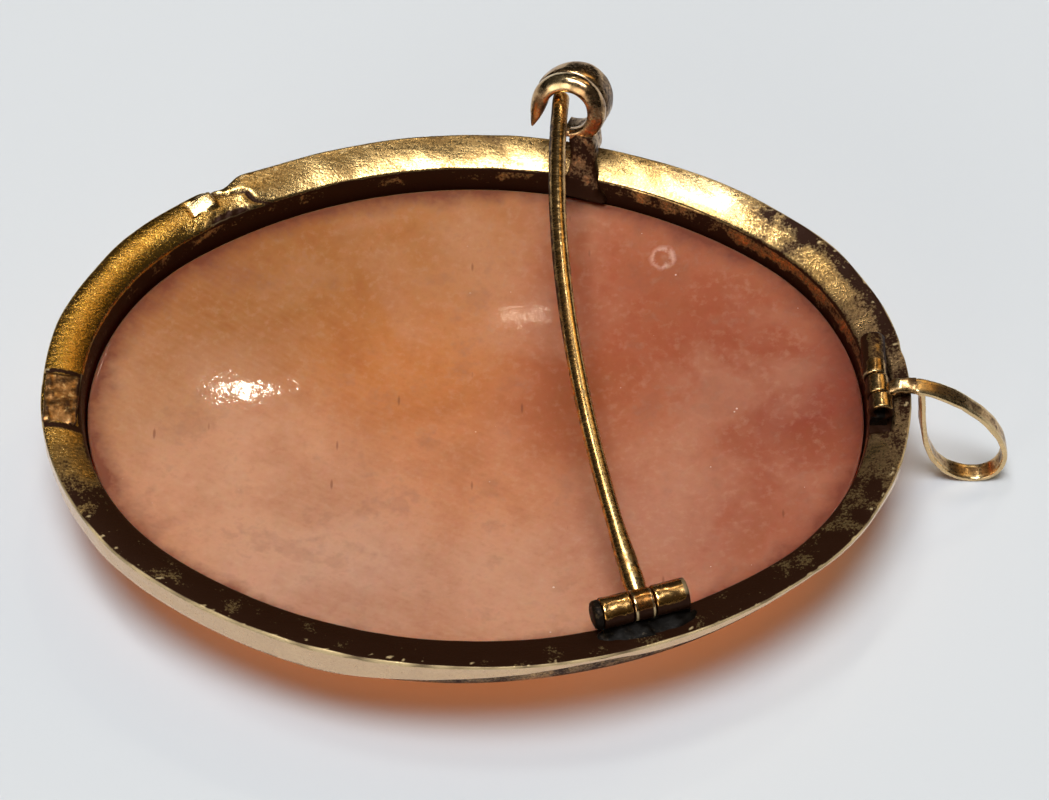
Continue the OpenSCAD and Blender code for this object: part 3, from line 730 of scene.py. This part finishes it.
z = z + is_top * facet * (0.24 * (y - facet_y) + 0.19 * (x - facet_x) + 0.05)
# The notch that was filed for the bail hinge.
notch_middle, notch_half = 0.35, 2.68
notch_out = 1.25
notch_z = 6.32
in_notch = (x > 0) * step(notch_half - np.abs(y - notch_middle), -0.08, 0.08)
in_notch = in_notch * step(out, notch_out + 0.1, notch_out)
z = np.where(z > notch_z, z + in_notch * (notch_z - z + 0.02 * ripples(surface, 0.7, seed=15)), z)
wall_wave = 0.012 * ripples(surface, 3.0, seed=17) + 0.008 * ripples(surface, 0.8, seed=18)
out = out + wall_wave * step(z, 5.2, 5.6) * (1 - is_top) * step(out, 1.0, 1.6)
x, y = oval(ring_angles[:, None], out)
ring = np.stack([x, y, z], -1)

# Tarnish and painted shade: painted shade with grime inside the wall, painted shade over the flange's top and
# most on its near side, under the flange, in the notch and along the near inner edge; tarnish in the seam and
# round the patch.
inside = step(0.35 - out, 0, 0.1) * step(z, 6.52, 6.3)
jagged = 0.16 * ripples(surface, 0.5, seed=21) + 0.1 * ripples(surface, 1.6, seed=22)
# Painted shade and grime on the inner wall, set round the ring.
inner_wall_dirt_and_shade = round_the_ring([(-180, 0.95), (90, 0.95), (60, 0.68), (0, 0.62), (-30, 0.8), (-90, 0.95)], 8)
# Tarnish and painted shade and dark reflection over the flange's top: darkest on its near side, least where
# its highlights fall.
flange_tarnish_and_shade = round_the_ring([
    (-178, 0.25), (-160, 0.62), (-145, 0.92), (-120, 1.05), (-90, 1.1), (-60, 1.0), (-35, 0.85), (-15, 0.6),
    (10, 0.55), (30, 0.6), (50, 0.58), (56, 0.45), (60, 0.05), (68, 0.08), (76, 0.38), (84, 0.42), (92, 0.33),
    (110, 0.33), (120, 0.26), (132, 0.10), (150, 0.04),
], 4)
# Painted shade on the outer strip of the flange's far right.
outer_strip_shade = round_the_ring([
    (62, 0.0), (70, 0.15), (52, 0.35), (30, 0.35), (10, 0.3), (-20, 0.1), (-60, 0), (100, 0),
], 4)
patch_y = -0.8
from_patch = np.abs(y - patch_y)
beside_patch = hump(from_patch, 1.72, 0.28) + step(1.8 - from_patch, 0, 0.1) * step(0.42 - out, 0, 0.12)
ring_tarnish_and_shade = inside * (inner_wall_dirt_and_shade[:, None] + 0.4 * step(5.72 + jagged - z, 0, 0.25))
ring_tarnish_and_shade += is_top * (flange_tarnish_and_shade[:, None] + outer_strip_shade[:, None] * step(across_top, 0.45, 0.75))
ring_tarnish_and_shade += is_top * (0.8 * crack + fold - facet + (x < 0) * beside_patch)
# Painted shade on the lower wall under the flange and in the notch.
low_wall_shade = (1 - is_top) * step(out, 0.25, 0.35) * step(5.5 - z, 0, 0.4)
ring_tarnish_and_shade += low_wall_shade * 0.7 + in_notch * step(z, 5.9, 6.2) * 0.55
# Painted shade along the flange's inner edge on the near side.
ring_tarnish_and_shade += 0.5 * is_top * hump(across_top, 0.06, 0.10) * ring_hump(-110, 70)[:, None]
# Wear along the flange's edges and on the lower outer wall, where it is partly a painted reflection, and
# painted highlights: a bright patch across the flange's far right and the bright facet.
chips = step(ripples(surface, 0.45, seed=24, waves=20), 0.9, 1.5) * hump(across_top, 0.86, 0.16)
edge_wear_and_highlights = hump(across_top, 1.0, 0.08) * (0.9 + 0.25 * ripples(surface, 2.0, seed=23))
edge_wear_and_highlights += hump(across_top, 0.03, 0.05) * ring_hump(150, 60)[:, None] * 0.8
# Painted highlights across the flange's far right and on the facet.
edge_wear_and_highlights += ring_hump(62.5, 9)[:, None] * step(across_top, 0.1, 0.3) + 0.9 * facet
ring_wear_and_highlights = is_top * (chips + edge_wear_and_highlights) + (1 - is_top) * step(out, 1.9, 2.1) * 0.45
grain_and_glints = round_the_ring([
    (-178, 1.0), (-150, 0.55), (-120, 0.3), (-60, 0.35), (0, 0.6), (40, 0.7), (52, 0.2), (60, 0.0), (70, 0.0),
    (80, 0.1), (100, 0.12), (118, 0.5), (130, 1.0), (165, 1.2),
], 8)
add_piece("mount_ring", skin(ring, closed=True), mount_gold, "mount", "frame", {
    "tarnish_and_shade": ring_tarnish_and_shade, "wear_and_highlight": ring_wear_and_highlights, "grain_and_glints": is_top * grain_and_glints[:, None],
    # A pale pink tint on the outer wall, partly a painted reflection of the pale table, and a little on the
    # flange's right end.
    "rosy_and_reflection": (1 - is_top) * step(out, 1.5, 1.9) * 0.65 + is_top * 0.3 * ring_hump(5, 45)[:, None],
})

# Solder patch. A small plate soldered over the joint of the strip at the left end. Solder is coppery and
# grey-brown, pitted, and stands a little proud, with a dark gap along its inner side.

solder = worn_gold("coppery_solder", "#AC7C4C", "#6E4A2A", 0.22, 0.05, 0.36, patch_mm=0.6, speckle=0.7)
patch_centre = (-half_l - 0.52 * rim_w, patch_y, rim_z - 0.14)
patch_w = 1.75
patch_l = 3.2
patch_tilt = 12


def turned(points, axis, degrees):
    """Points turned about the X, Y or Z axis through the origin."""
    return points @ np.array(Matrix.Rotation(math.radians(degrees), 3, axis)).T


def oblong(half_wide, half_thick, power, count=24):
    """A closed rounded oblong: |x / half_wide| ** power + |y / half_thick| ** power = 1."""
    a = np.linspace(0, 2 * math.pi, count, endpoint=False) + math.pi / count
    c, s = np.cos(a), np.sin(a)
    x, y = (np.sign(v) * np.abs(v) ** (2 / power) for v in (c, s))
    return half_wide * x, half_thick * y


def xyz(x, y, z):
    """Points from their coordinates. Those with one value for each ring are columns."""
    return np.stack(np.broadcast_arrays(x, y, z), -1)


patch_at = np.linspace(-1, 1, 70)[:, None]
patch_fall = np.clip(1 - np.abs(patch_at) ** 14, 0.02, 1) ** 0.5
flat_x, flat_y = oblong(patch_w / 2, 0.17, 6, 60)
patch = xyz(flat_x * (0.9 + 0.1 * patch_fall), patch_l / 2 * patch_at, flat_y * patch_fall)
streaks = ripples(patch * (3.0, 0.8, 0), 1.1, seed=31)
patch[..., 2] += (0.02 * streaks + 0.02 * ripples(patch, 0.6, seed=32)) * step(patch[..., 2], 0, 0.1)
gaps = step(np.abs(patch[..., 1]), 1.45, 1.6) + step(patch[..., 0], 0.7, 0.85)
patch = turned(patch, "Y", patch_tilt) + patch_centre
add_piece("solder_patch", skin(patch), solder, "mount", "frame", {
    "tarnish_and_shade": 0.34 + 0.22 * streaks + 0.5 * gaps,
})

# Catch. An open hook of flat gold strip, bent round an eye and filed into a half-round front band and a
# thinner rear band with a slit between them. Its tip is pointed. A flat stem carries it, which spreads
# into a foot on the inner wall. The gold is rosy. The stem is painted near black, tarnish and a painted
# dark reflection of the shell; the bands are darker towards both ends, as painted shade on their right,
# and the front band has a painted highlight over its top and upper left.

catch_gold = worn_gold(
    "rubbed_rose_gold", "#D2AE82", "#B48C62", 0.20, 0.012, 0.20, patch_mm=1.3, speckle=0.22)
catch_foot = np.array([5.5, 14.511, 5.64])
catch_turn = math.radians(17.5)
catch_lean = math.radians(20)
stem_h = 4.55
eye_side = 1.3
eye_d = 2.3
hook_t = 0.92


def at_catch(points):
    """Points of the catch's own frame, X along the stem's face and Y up the stem, in the jewel's frame."""
    s, c, sl, cl = math.sin(catch_turn), math.cos(catch_turn), math.sin(catch_lean), math.cos(catch_lean)
    return catch_foot + points @ np.array([[c, -s, 0], [sl * s, sl * c, cl], [-cl * s, -cl * c, sl]])


def hook_band(first, last, middle_z, wide, thick, inner_r, power, tip_l):
    """A band round the eye from angle first to angle last, in degrees, with a tip that runs straight on.

    Each ring is an oblong across the band: thick along the radius and wide along Z. The tip shrinks as
    1 - 0.86 t ** 1.8, with t from 0 to 1 along it. Also gives each ring's angle.
    """
    radius = inner_r + thick / 2
    run = math.radians(last - first) * radius
    at = np.linspace(0, run + tip_l, 120)[:, None]
    a = math.radians(first) + np.minimum(at, run) / radius
    past = np.maximum(at - run, 0)
    shrink = 1 - 0.86 * np.clip(past / (tip_l or 1), 0, 1) ** 1.8
    flat_x, flat_y = oblong(1, 1, power)
    out = flat_x * (thick / 2 * shrink) + radius
    deep = flat_y * (wide / 2 * (0.35 + 0.65 * shrink)) + middle_z
    x, y = out * np.cos(a) - past * np.sin(a) - eye_side, out * np.sin(a) + past * np.cos(a) + stem_h
    return xyz(x, y, deep), np.degrees(a) + 0 * x


front_band, at_deg = hook_band(
    -75, 172, middle_z=-0.02, wide=0.86, thick=hook_t, inner_r=eye_d / 2 - 0.04, power=2.7, tip_l=1.75)
from_eye = np.hypot(front_band[..., 0] + eye_side, front_band[..., 1] - stem_h) - eye_d / 2
front_band[..., 2] -= 0.26 * np.clip(from_eye, 0, 1)
front_band += 0.010 * ripples(front_band, 0.8, seed=41)[..., None]
add_piece("catch_front_band", skin(at_catch(front_band)), catch_gold, "mount", "frame", {
    # Darker towards both ends, on the right as painted shade, and a painted highlight over the top and upper
    # left.
    "tarnish_and_shade": 0.05 + 0.5 * step(at_deg, 150, 176) + 0.35 * step(48 - at_deg, 0, 30),
    "wear_and_highlight": hump(at_deg, 112, 62),
})
rear_band, at_deg = hook_band(
    -95, 158, middle_z=-1.34, wide=1.55, thick=0.62, inner_r=eye_d / 2 + 0.27, power=3.6, tip_l=0)
rear_front = -0.565
rear_band[..., 2] = rear_front + (rear_band[..., 2] - rear_front) * (1 - 0.5 * step(at_deg, 70, 158))
rear_band += 0.012 * ripples(rear_band, 0.9, seed=43)[..., None]
add_piece("catch_rear_band", skin(at_catch(rear_band)), catch_gold, "mount", "frame", {
    # Darker towards both ends, on the right as painted shade.
    "tarnish_and_shade": 0.30 + 0.35 * step(70 - at_deg, 0, 30) + 0.5 * step(at_deg, 135, 158),
})

# The stem's middle line, half width and half thickness at each height, up to where it joins the bands.
stem_rows = np.array([
    # x, y, half width, half thickness
    (0.10, -0.35, 1.35, 0.34),
    (0.08, 0.05, 1.15, 0.34),
    (0.05, 0.45, 0.95, 0.35),
    (0.03, 1.10, 0.80, 0.35),
    (-0.02, 1.80, 0.68, 0.35),
    (-0.10, 2.45, 0.74, 0.38),
    (-0.22, 3.00, 0.72, 0.40),
    (-0.20, 3.35, 0.50, 0.38),
])
stem_at = np.linspace(0, len(stem_rows) - 1, 60)
stem_x, stem_y, stem_wide, stem_thick = (
    np.interp(stem_at, np.arange(len(stem_rows)), column)[:, None] for column in stem_rows.T)
flat_x, flat_y = oblong(1, 1, 5, 32)
stem = xyz(stem_x + stem_wide * flat_x, stem_y, stem_thick * flat_y)
stem += 0.015 * ripples(stem, 0.9, seed=45)[..., None]
# A web behind its upper end carries the rear band.
web = xyz(stem_x + 0.8 * stem_wide * flat_x, stem_y, 0.9 * flat_y - 0.9)[stem_at > 4.6]
# Near black: tarnish and a painted dark reflection of the shell, darkest at the foot.
stem_tarnish_and_reflection = 0.82 + 0.35 * step(0.9 - stem[..., 1], 0, 0.8)
both = joined([skin(at_catch(stem)), skin(at_catch(web))])
add_piece("catch_stem", both, catch_gold, "mount", "frame", {
    "tarnish_and_shade": np.concatenate([stem_tarnish_and_reflection.ravel(), np.full(2 + web[..., 0].size, 0.5)]),
})

# Pin hinge. Two tubes soldered in the corner of the rim at the front, with the pin's own tube between
# them, on one rivet with a filed head. The solder under them is near black, with grime and painted shade,
# and the tubes are painted bright on top and dark below, a painted highlight and painted shade.

hinge_gold = worn_gold("bright_tube_gold", "#E6AC5C", "#B97C3A", 0.16, 0.016, 0.19)
# Near-black solder: grime, and painted shade where it sits under the hinge tubes.
grime_and_shade_solder = worn_gold(
    "grime_and_shade_solder", "#4A3826", "#1E1610", 0.3, 0.05, 0.30, patch_mm=1.2, speckle=0.3, soot="#0E0A07")
rivet_metal = worn_gold(
    "tarnished_rivet", "#6A5438", "#3D2E1E", 0.2, 0.03, 0.30, patch_mm=0.5, speckle=0.3, soot="#140D08")
pin_hinge = np.array([8.2, -13.697, 7.53])
pin_hinge_turn = 17.247
pin_tube_r = 0.78
pin_bore_r = 0.37
pin_tubes = ((-2.10, -0.60), (0.60, 2.30))
pin_rivet_r = 0.33


def at_pin_hinge(points):
    """Points of the hinge's own frame, X along its axis, in the jewel's frame."""
    return turned(points, "Z", pin_hinge_turn) + pin_hinge


def resampled(profile, gap):
    """The profile with more rows, so that no two are more than about gap mm apart."""
    rows = [profile[:1]]
    for one, two in zip(profile[:-1], profile[1:]):
        steps = max(1, int(np.linalg.norm(two - one) / gap))
        rows.append(one + (two - one) * np.linspace(0, 1, steps + 1)[1:, None])
    return np.concatenate(rows)


def lathe(profile, around=44):
    """Rings about the X axis from rows of (x, radius)."""
    a = np.linspace(0, 2 * math.pi, around, endpoint=False)
    return xyz(profile[:, :1], profile[:, 1:] * np.cos(a), profile[:, 1:] * np.sin(a))


def tube(first, last, outer_r, bore_r, seed):
    """A short tube about the X axis: outer wall, bevelled ends and a bore, as one closed ring of sections."""
    bevel, near, dent = 0.07, 0.03, 0.008
    half = (0.35 * bevel, outer_r - 0.25 * bevel)
    profile = np.array([
        (first, outer_r - bevel), (first + half[0], half[1]),
        *((x, outer_r) for x in np.linspace(first + bevel, last - bevel, 18)),
        (last - half[0], half[1]), (last, outer_r - bevel),
        (last, bore_r + near), (last - near, bore_r), (first + near, bore_r), (first, bore_r + near),
    ])
    rings = lathe(profile, 56)
    swell = 1 + dent * ripples(rings, 0.7, seed=seed) / outer_r
    rings[..., 1:] *= np.where(profile[:, 1:] > bore_r + 0.05, swell, 1)[..., None]
    return rings


def tube_layers(rings, outer_r):
    """Painted highlight on top of a tube, and painted shade below it, on one side and in its bore and ends.
    """
    x, y, z = np.moveaxis(rings, -1, 0)
    ends = step(np.hypot(y, z), outer_r - 0.09, outer_r - 0.16)
    tarnish_and_shade = 0.14 + 0.95 * step(0.70 * outer_r - z, 0, 0.28 * outer_r) + 0.9 * ends
    tarnish_and_shade = tarnish_and_shade + 0.6 * step(y, 0.40 * outer_r, 0.75 * outer_r)
    wear_and_highlight = 0.5 * step(z, 0.5 * outer_r, 0.95 * outer_r) * (1 - ends)
    return tarnish_and_shade, wear_and_highlight


for number, (first, last) in enumerate(pin_tubes):
    rings = tube(first, last, pin_tube_r, pin_bore_r, seed=51 + number)
    tarnish_and_shade, wear_and_highlight = tube_layers(rings, pin_tube_r)
    # A darker band at the right end of the right tube.
    tarnish_and_shade = tarnish_and_shade + 0.9 * step(rings[..., 0], pin_tubes[1][1] - 0.22, pin_tubes[1][1] - 0.16)
    shape = skin(at_pin_hinge(rings), closed=True)
    add_piece("pin_hinge_tube_%d" % (number + 1), shape, hinge_gold, "mount", "frame", {
        "tarnish_and_shade": tarnish_and_shade, "wear_and_highlight": wear_and_highlight,
    })

# The solder: an upright base under the tubes and an apron that ran out in front of it, near black as grime
# and as painted shade under the tubes.
base_at = np.linspace(pin_tubes[0][0] - 0.02, pin_tubes[1][1] + 0.02, 60)[:, None]
flat_x, flat_y = oblong(0.45, 1, 4, 40)
base_top = -0.36 - 0.45 * hump(base_at, 0, 0.8) + 0.05 * np.sin(5 * base_at)
base_foot = -2.30
base = xyz(base_at, -0.225 + flat_x * (1 + 0.1 * np.sin(3 * base_at)),
           (base_top + base_foot) / 2 + flat_y * (base_top - base_foot) / 2)
base += 0.03 * ripples(base, 0.8, seed=55)[..., None]
apron_at = np.linspace(-2.5, 2.7, 70)[:, None]
flat_x, flat_y = oblong(1, 1, 2.2, 36)
apron_size = np.sqrt(np.clip(1 - ((apron_at - 0.1) / 2.65) ** 2, 0.02, 1))
apron = xyz(apron_at, -0.80 + 0.86 * flat_x * apron_size, -0.90 + 0.34 * flat_y * apron_size)
apron += 0.07 * ripples(apron, 0.8, seed=56)[..., None]
both = joined([skin(at_pin_hinge(base)), skin(at_pin_hinge(apron))])
add_piece("pin_hinge_solder", both, grime_and_shade_solder, "mount", "frame", {"tarnish_and_shade": [1.0]})

head_x = pin_tubes[0][0] - 0.035
rivet_profile = np.array([
    (head_x - 0.44, 0.10), (head_x - 0.43, 0.50), (head_x - 0.38, 0.64), (head_x - 0.28, 0.72),
    (head_x - 0.10, 0.75), (head_x - 0.03, 0.74), (head_x, 0.68), (head_x, pin_rivet_r), (-1.0, pin_rivet_r),
    (0.5, pin_rivet_r), (2.10, pin_rivet_r), (2.16, 0.25), (2.18, 0.08),
])
rivet = lathe(resampled(rivet_profile, 0.15))
rivet[..., 1:] *= (1 + 0.02 * ripples(rivet, 0.5, seed=57))[..., None]
add_piece("pin_rivet", skin(at_pin_hinge(rivet)), rivet_metal, "mount", "pin_hinge_rivet", {
    "tarnish_and_shade": [0.95],
}, sharp=35)

# Pin. A drawn gold wire, bent a little and soldered to its tube with a collar. It is painted bright along
# its top and dark along its sides, as a painted highlight and painted shade, pitted by files and corrosion
# towards the point, and coppery at the tube.

wire_gold = worn_gold("drawn_gold_wire", "#DBAC68", "#A87A42", 0.13, 0.018, 0.22, speckle=0.4)
wire_r = 0.44
wire_bend = math.radians(36)
wire_roll = 50
wire_tip = 1.15
wire_tip_r = 0.15
wire_start = pin_hinge + turned(np.array([0, 0.655, 0]), "Z", pin_hinge_turn)
wire_end = at_catch(np.array([-eye_side - 0.14 * eye_d, stem_h + 0.11 * eye_d, 0.35]))


def unit(vectors):
    """Vectors of the same aim and of length 1."""
    return vectors / np.linalg.norm(vectors, axis=-1, keepdims=True)


def wire_line(count):
    """Points along the bent wire: an arc of a circle from wire_start to wire_end, then a straight tip."""
    chord = wire_end - wire_start
    far = np.linalg.norm(chord)
    radius = far / (2 * math.sin(wire_bend / 2))
    yaw, pitch = math.degrees(math.atan2(-chord[0], chord[1])), math.degrees(math.asin(chord[2] / far))
    a = np.linspace(wire_bend, 0, count) + math.pi - wire_bend
    arc = xyz(radius + radius * np.cos(a), radius * np.sin(a), 0)
    for axis, degrees in (("Z", math.degrees(wire_bend / 2)), ("Y", wire_roll), ("X", pitch), ("Z", yaw)):
        arc = turned(arc, axis, degrees)
    arc = arc + wire_start
    return np.concatenate([arc, arc[-1] + unit(arc[-1] - arc[-2]) * np.linspace(0, wire_tip, 14)[1:, None]])


line = wire_line(420)
run = np.concatenate([[0], np.cumsum(np.linalg.norm(np.diff(line, axis=0), axis=1))])[:, None]
length = run[-1]
ahead = unit(np.gradient(line, axis=0))
level = np.cross(ahead, (0, 0, 1.0))
side = unit(level)
# Round in section, wider at its root and at the collar, and pointed over its last 0.45 mm.
collar = 1 + 0.08 * hump(run, 0.75, 0.62)
root = step(4.0 - run, 0, 2.4)
taper = wire_r - (wire_r - wire_tip_r) * np.clip((run - length + 0.45) / 0.45, 0, 1) ** 1.6
flat_x, flat_y = oblong(1, 1, 2, 28)
from_line = (flat_x * taper * (collar + 0.20 * root))[..., None] * side[:, None]
from_line += (flat_y * taper * (collar + 0.10 * root))[..., None] * np.cross(side, ahead)[:, None]
wire = line[:, None] + from_line
pitting = 0.35 + 0.65 * step(run, 0.45 * length, 0.8 * length)
roughness = 0.005 * ripples(wire, 0.30, seed=61, waves=40) + 0.008 * ripples(wire, 1.9, seed=62)
wire = line[:, None] + from_line * (1 + pitting * roughness / wire_r)[..., None]
# Painted shade along the sides, more on the left in the middle, and a painted highlight along the top and
# underside.
sideways = np.sum(unit(from_line) * level[:, None], -1)
wire_tarnish_and_shade = 0.18 + 0.55 * step(-sideways, 0.45, 0.9) * step(run, 0.3 * length, 0.6 * length)
wire_tarnish_and_shade += 0.30 * step(np.abs(sideways), 0.75, 1.0) + 0.25 * hump(run, 1.7, 1.0)
add_piece("pin_wire", skin(wire), wire_gold, "pin", "pin_stem", {
    "tarnish_and_shade": wire_tarnish_and_shade, "wear_and_highlight": 0.85 * hump(sideways, 0.12, 0.5),
})
rose_tube = worn_gold("coppery_tube_gold", "#CF9250", "#A9652F", 0.2, 0.012, 0.22, patch_mm=0.6, speckle=0.4)
rings = tube(-0.53, 0.53, pin_tube_r, pin_rivet_r + 0.04, seed=63)
# Painted highlight on top and painted shade below, as on the other tubes.
tarnish_and_shade, wear_and_highlight = tube_layers(rings, pin_tube_r)
end_marks = hump(np.abs(rings[..., 0]), 0.44, 0.12)
add_piece("pin_tube", skin(at_pin_hinge(rings), closed=True), rose_tube, "pin", "pin_stem", {
    "tarnish_and_shade": tarnish_and_shade, "wear_and_highlight": np.maximum(wear_and_highlight * 0.6, end_marks),
})

# Bail hinge. Two tubes on a solder foot in the notch of the rim, across the jewel's right end. The far
# one is long and darker along its far part, with a pale ring near its near end, and the near one is open
# at its end. Both are painted bright on top and dark below and in the bore, as painted highlight and shade.

bail_hinge = np.array([20.5, -0.1, 7.35])
bail_tube_r = 0.63
bail_bore_r = 0.40
bail_tubes = ((0.63, 3.23), (-1.58, -0.63))
bail_hinge_gold = worn_gold("brown_tube_gold", "#C9A066", "#8C683C", 0.16, 0.016, 0.22)


def at_bail_hinge(points):
    """Points of the bail hinge's own frame, X along its axis towards the catch, in the jewel's frame."""
    return turned(points, "Z", 90) + bail_hinge


for number, (first, last) in enumerate(bail_tubes):
    rings = tube(first, last, bail_tube_r, bail_bore_r, seed=71 + number)
    tarnish_and_shade, wear_and_highlight = tube_layers(rings, bail_tube_r)
    rings[..., 1] += (0.11, -0.11)[number]
    # The far tube: darker along its far part, and a pale ring near its near end.
    if number == 0:
        tarnish_and_shade = tarnish_and_shade + 0.6 * step(rings[..., 0], 1.4, 1.5)
        wear_and_highlight = wear_and_highlight * 0.5 + 0.6 * hump(rings[..., 0], 0.70, 0.14)
    shape = skin(at_bail_hinge(rings), closed=True)
    add_piece("bail_hinge_tube_%d" % (number + 1), shape, bail_hinge_gold, "mount", "frame", {
        "tarnish_and_shade": tarnish_and_shade, "wear_and_highlight": wear_and_highlight,
    })

# The feet are near black: grime, and painted shade in the notch.
feet = []
flat_x, flat_y = oblong(0.46, 0.42, 4, 32)
for first, last in bail_tubes:
    foot = xyz(np.linspace(first, last, 26)[:, None], flat_x, flat_y - 0.72)
    foot += 0.025 * ripples(foot, 0.6, seed=75)[..., None]
    feet.append(skin(at_bail_hinge(foot)))
add_piece("bail_hinge_solder", joined(feet), grime_and_shade_solder, "mount", "frame", {"tarnish_and_shade": [0.8]})

rivet_profile = np.array([
    (-1.28, 0.08), (-1.27, 0.22), (-1.22, 0.28), (2.35, 0.28), (2.40, 0.22), (2.41, 0.08),
])
rivet = lathe(resampled(rivet_profile, 0.15), 36)
add_piece("bail_rivet", skin(at_bail_hinge(rivet)), rivet_metal, "mount", "bail_hinge_rivet", {
    "tarnish_and_shade": [0.5],
})

# Bail. A drop-shaped loop of pale rose gold ribbon. Its ends are pinched and twisted together at the neck,
# and soldered to a short tube that turns on the hinge.

bail_gold = worn_gold("pale_rose_gold_ribbon", "#D2AB78", "#A07A4C", 0.14, 0.02, 0.27)
loop_l = 8.5
loop_upper = 2.35
loop_lower = 2.4
loop_hang = math.radians(57.5)
ribbon_w = 0.9
ribbon_t = 0.3
neck_out = 1.68
neck_up = 0.22
lower_shift = 0.55


def drop_line(t):
    """The loop's middle line at the angle t in degrees, from the neck round to it again.

    Along the drop it is loop_l (1 - cos t) / 2. Across it is loop_upper sin t sqrt(sin(t/2)) on the upper
    side and loop_lower sin t sin(t/2) on the lower one. The drop hangs loop_hang below the level, and its
    lower end stops lower_shift further out.
    """
    r = np.radians(t)
    along = loop_l * (1 - np.cos(r)) / 2
    half = np.clip(np.sin(r / 2), 0, 1)
    across = np.where(t < 180, loop_upper * np.sin(r) * np.sqrt(half), loop_lower * np.sin(r) * half)
    c, s = math.cos(loop_hang), math.sin(loop_hang)
    start = neck_out + lower_shift * step(t, 220, 320) * step(360 - t, 2, 22)
    return xyz(start + along * c + across * s, 0, neck_up - along * s + across * c) + bail_hinge


def twisted(x, y, degrees):
    """A section's x and y, turned by an angle for each ring."""
    c, s = np.cos(np.radians(degrees)), np.sin(np.radians(degrees))
    return x * c - y * s, x * s + y * c


t = np.linspace(4, 356, 260)
line = drop_line(t)
over = np.cross(unit(np.gradient(line, axis=0)), (0, 1.0, 0))
t = t[:, None]
ends = step(20 - np.minimum(t, 360 - t), 0, 14)
flat_x, flat_y = oblong(1, 1, 5, 28)
twist = 7 * np.sin(np.radians(t * 1.5)) + 10 * ends * np.sign(180 - t)
wide, thick = twisted(flat_x * ribbon_w / 2 * (1 - 0.22 * ends), flat_y * ribbon_t / 2, twist)
ribbon = line[:, None] + wide[..., None] * (0, 1.0, 0) + thick[..., None] * over[:, None]
ribbon += 0.010 * ripples(ribbon, 1.1, seed=81)[..., None]
wide_face = step(0.30 * ribbon_w - np.abs(ribbon[..., 1] - bail_hinge[1]), 0, 0.12)
add_piece("bail_ribbon", skin(ribbon), bail_gold, "bail", "bail", {
    "tarnish_and_shade": (0.56 + 0.15 * ends) * wide_face,
    "wear_and_highlight": 0.8 * (1 - wide_face) + 0.6 * hump(t, 22, 16) * wide_face,
})

neck_at = np.linspace(0.42, neck_out + 0.25, 60)[:, None]
pinch = hump(neck_at, 1.25, 0.8)
flat_x, flat_y = oblong(1, 1, 3.2, 28)
half_wide = 0.43 * (1 - 0.12 * pinch)
half_thick = 0.17 * (1 + 0.5 * pinch) + 0.10 * step(neck_at, 1.6, 2.3)
wide, thick = twisted(flat_x * half_wide, flat_y * half_thick, 32 * hump(neck_at, 1.3, 0.9))
neck = xyz(neck_at, wide, neck_up * step(neck_at, 0.3, 1.2) + thick)
neck += 0.02 * ripples(neck, 0.5, seed=83)[..., None]
rings = tube(-0.56, 0.56, bail_tube_r - 0.01, 0.32, seed=85)
# Painted highlight on top and painted shade below and in the bore, as on the other tubes.
tarnish_and_shade, wear_and_highlight = tube_layers(rings, bail_tube_r)
shape = skin(at_bail_hinge(rings), closed=True)
add_piece("bail_tube", shape, bail_hinge_gold, "bail", "bail", {
    "tarnish_and_shade": tarnish_and_shade, "wear_and_highlight": wear_and_highlight,
})
add_piece("bail_neck", skin(neck + bail_hinge), bail_gold, "bail", "bail", {
    "tarnish_and_shade": 0.38 + 0.3 * step(neck_at, 1.2, 2.2) + 0 * wide,
    # A painted highlight on the top of the neck.
    "wear_and_highlight": 0.9 * hump(neck_at, 1.0, 0.35) * step(neck[..., 2], neck_up, neck_up + 0.2),
})
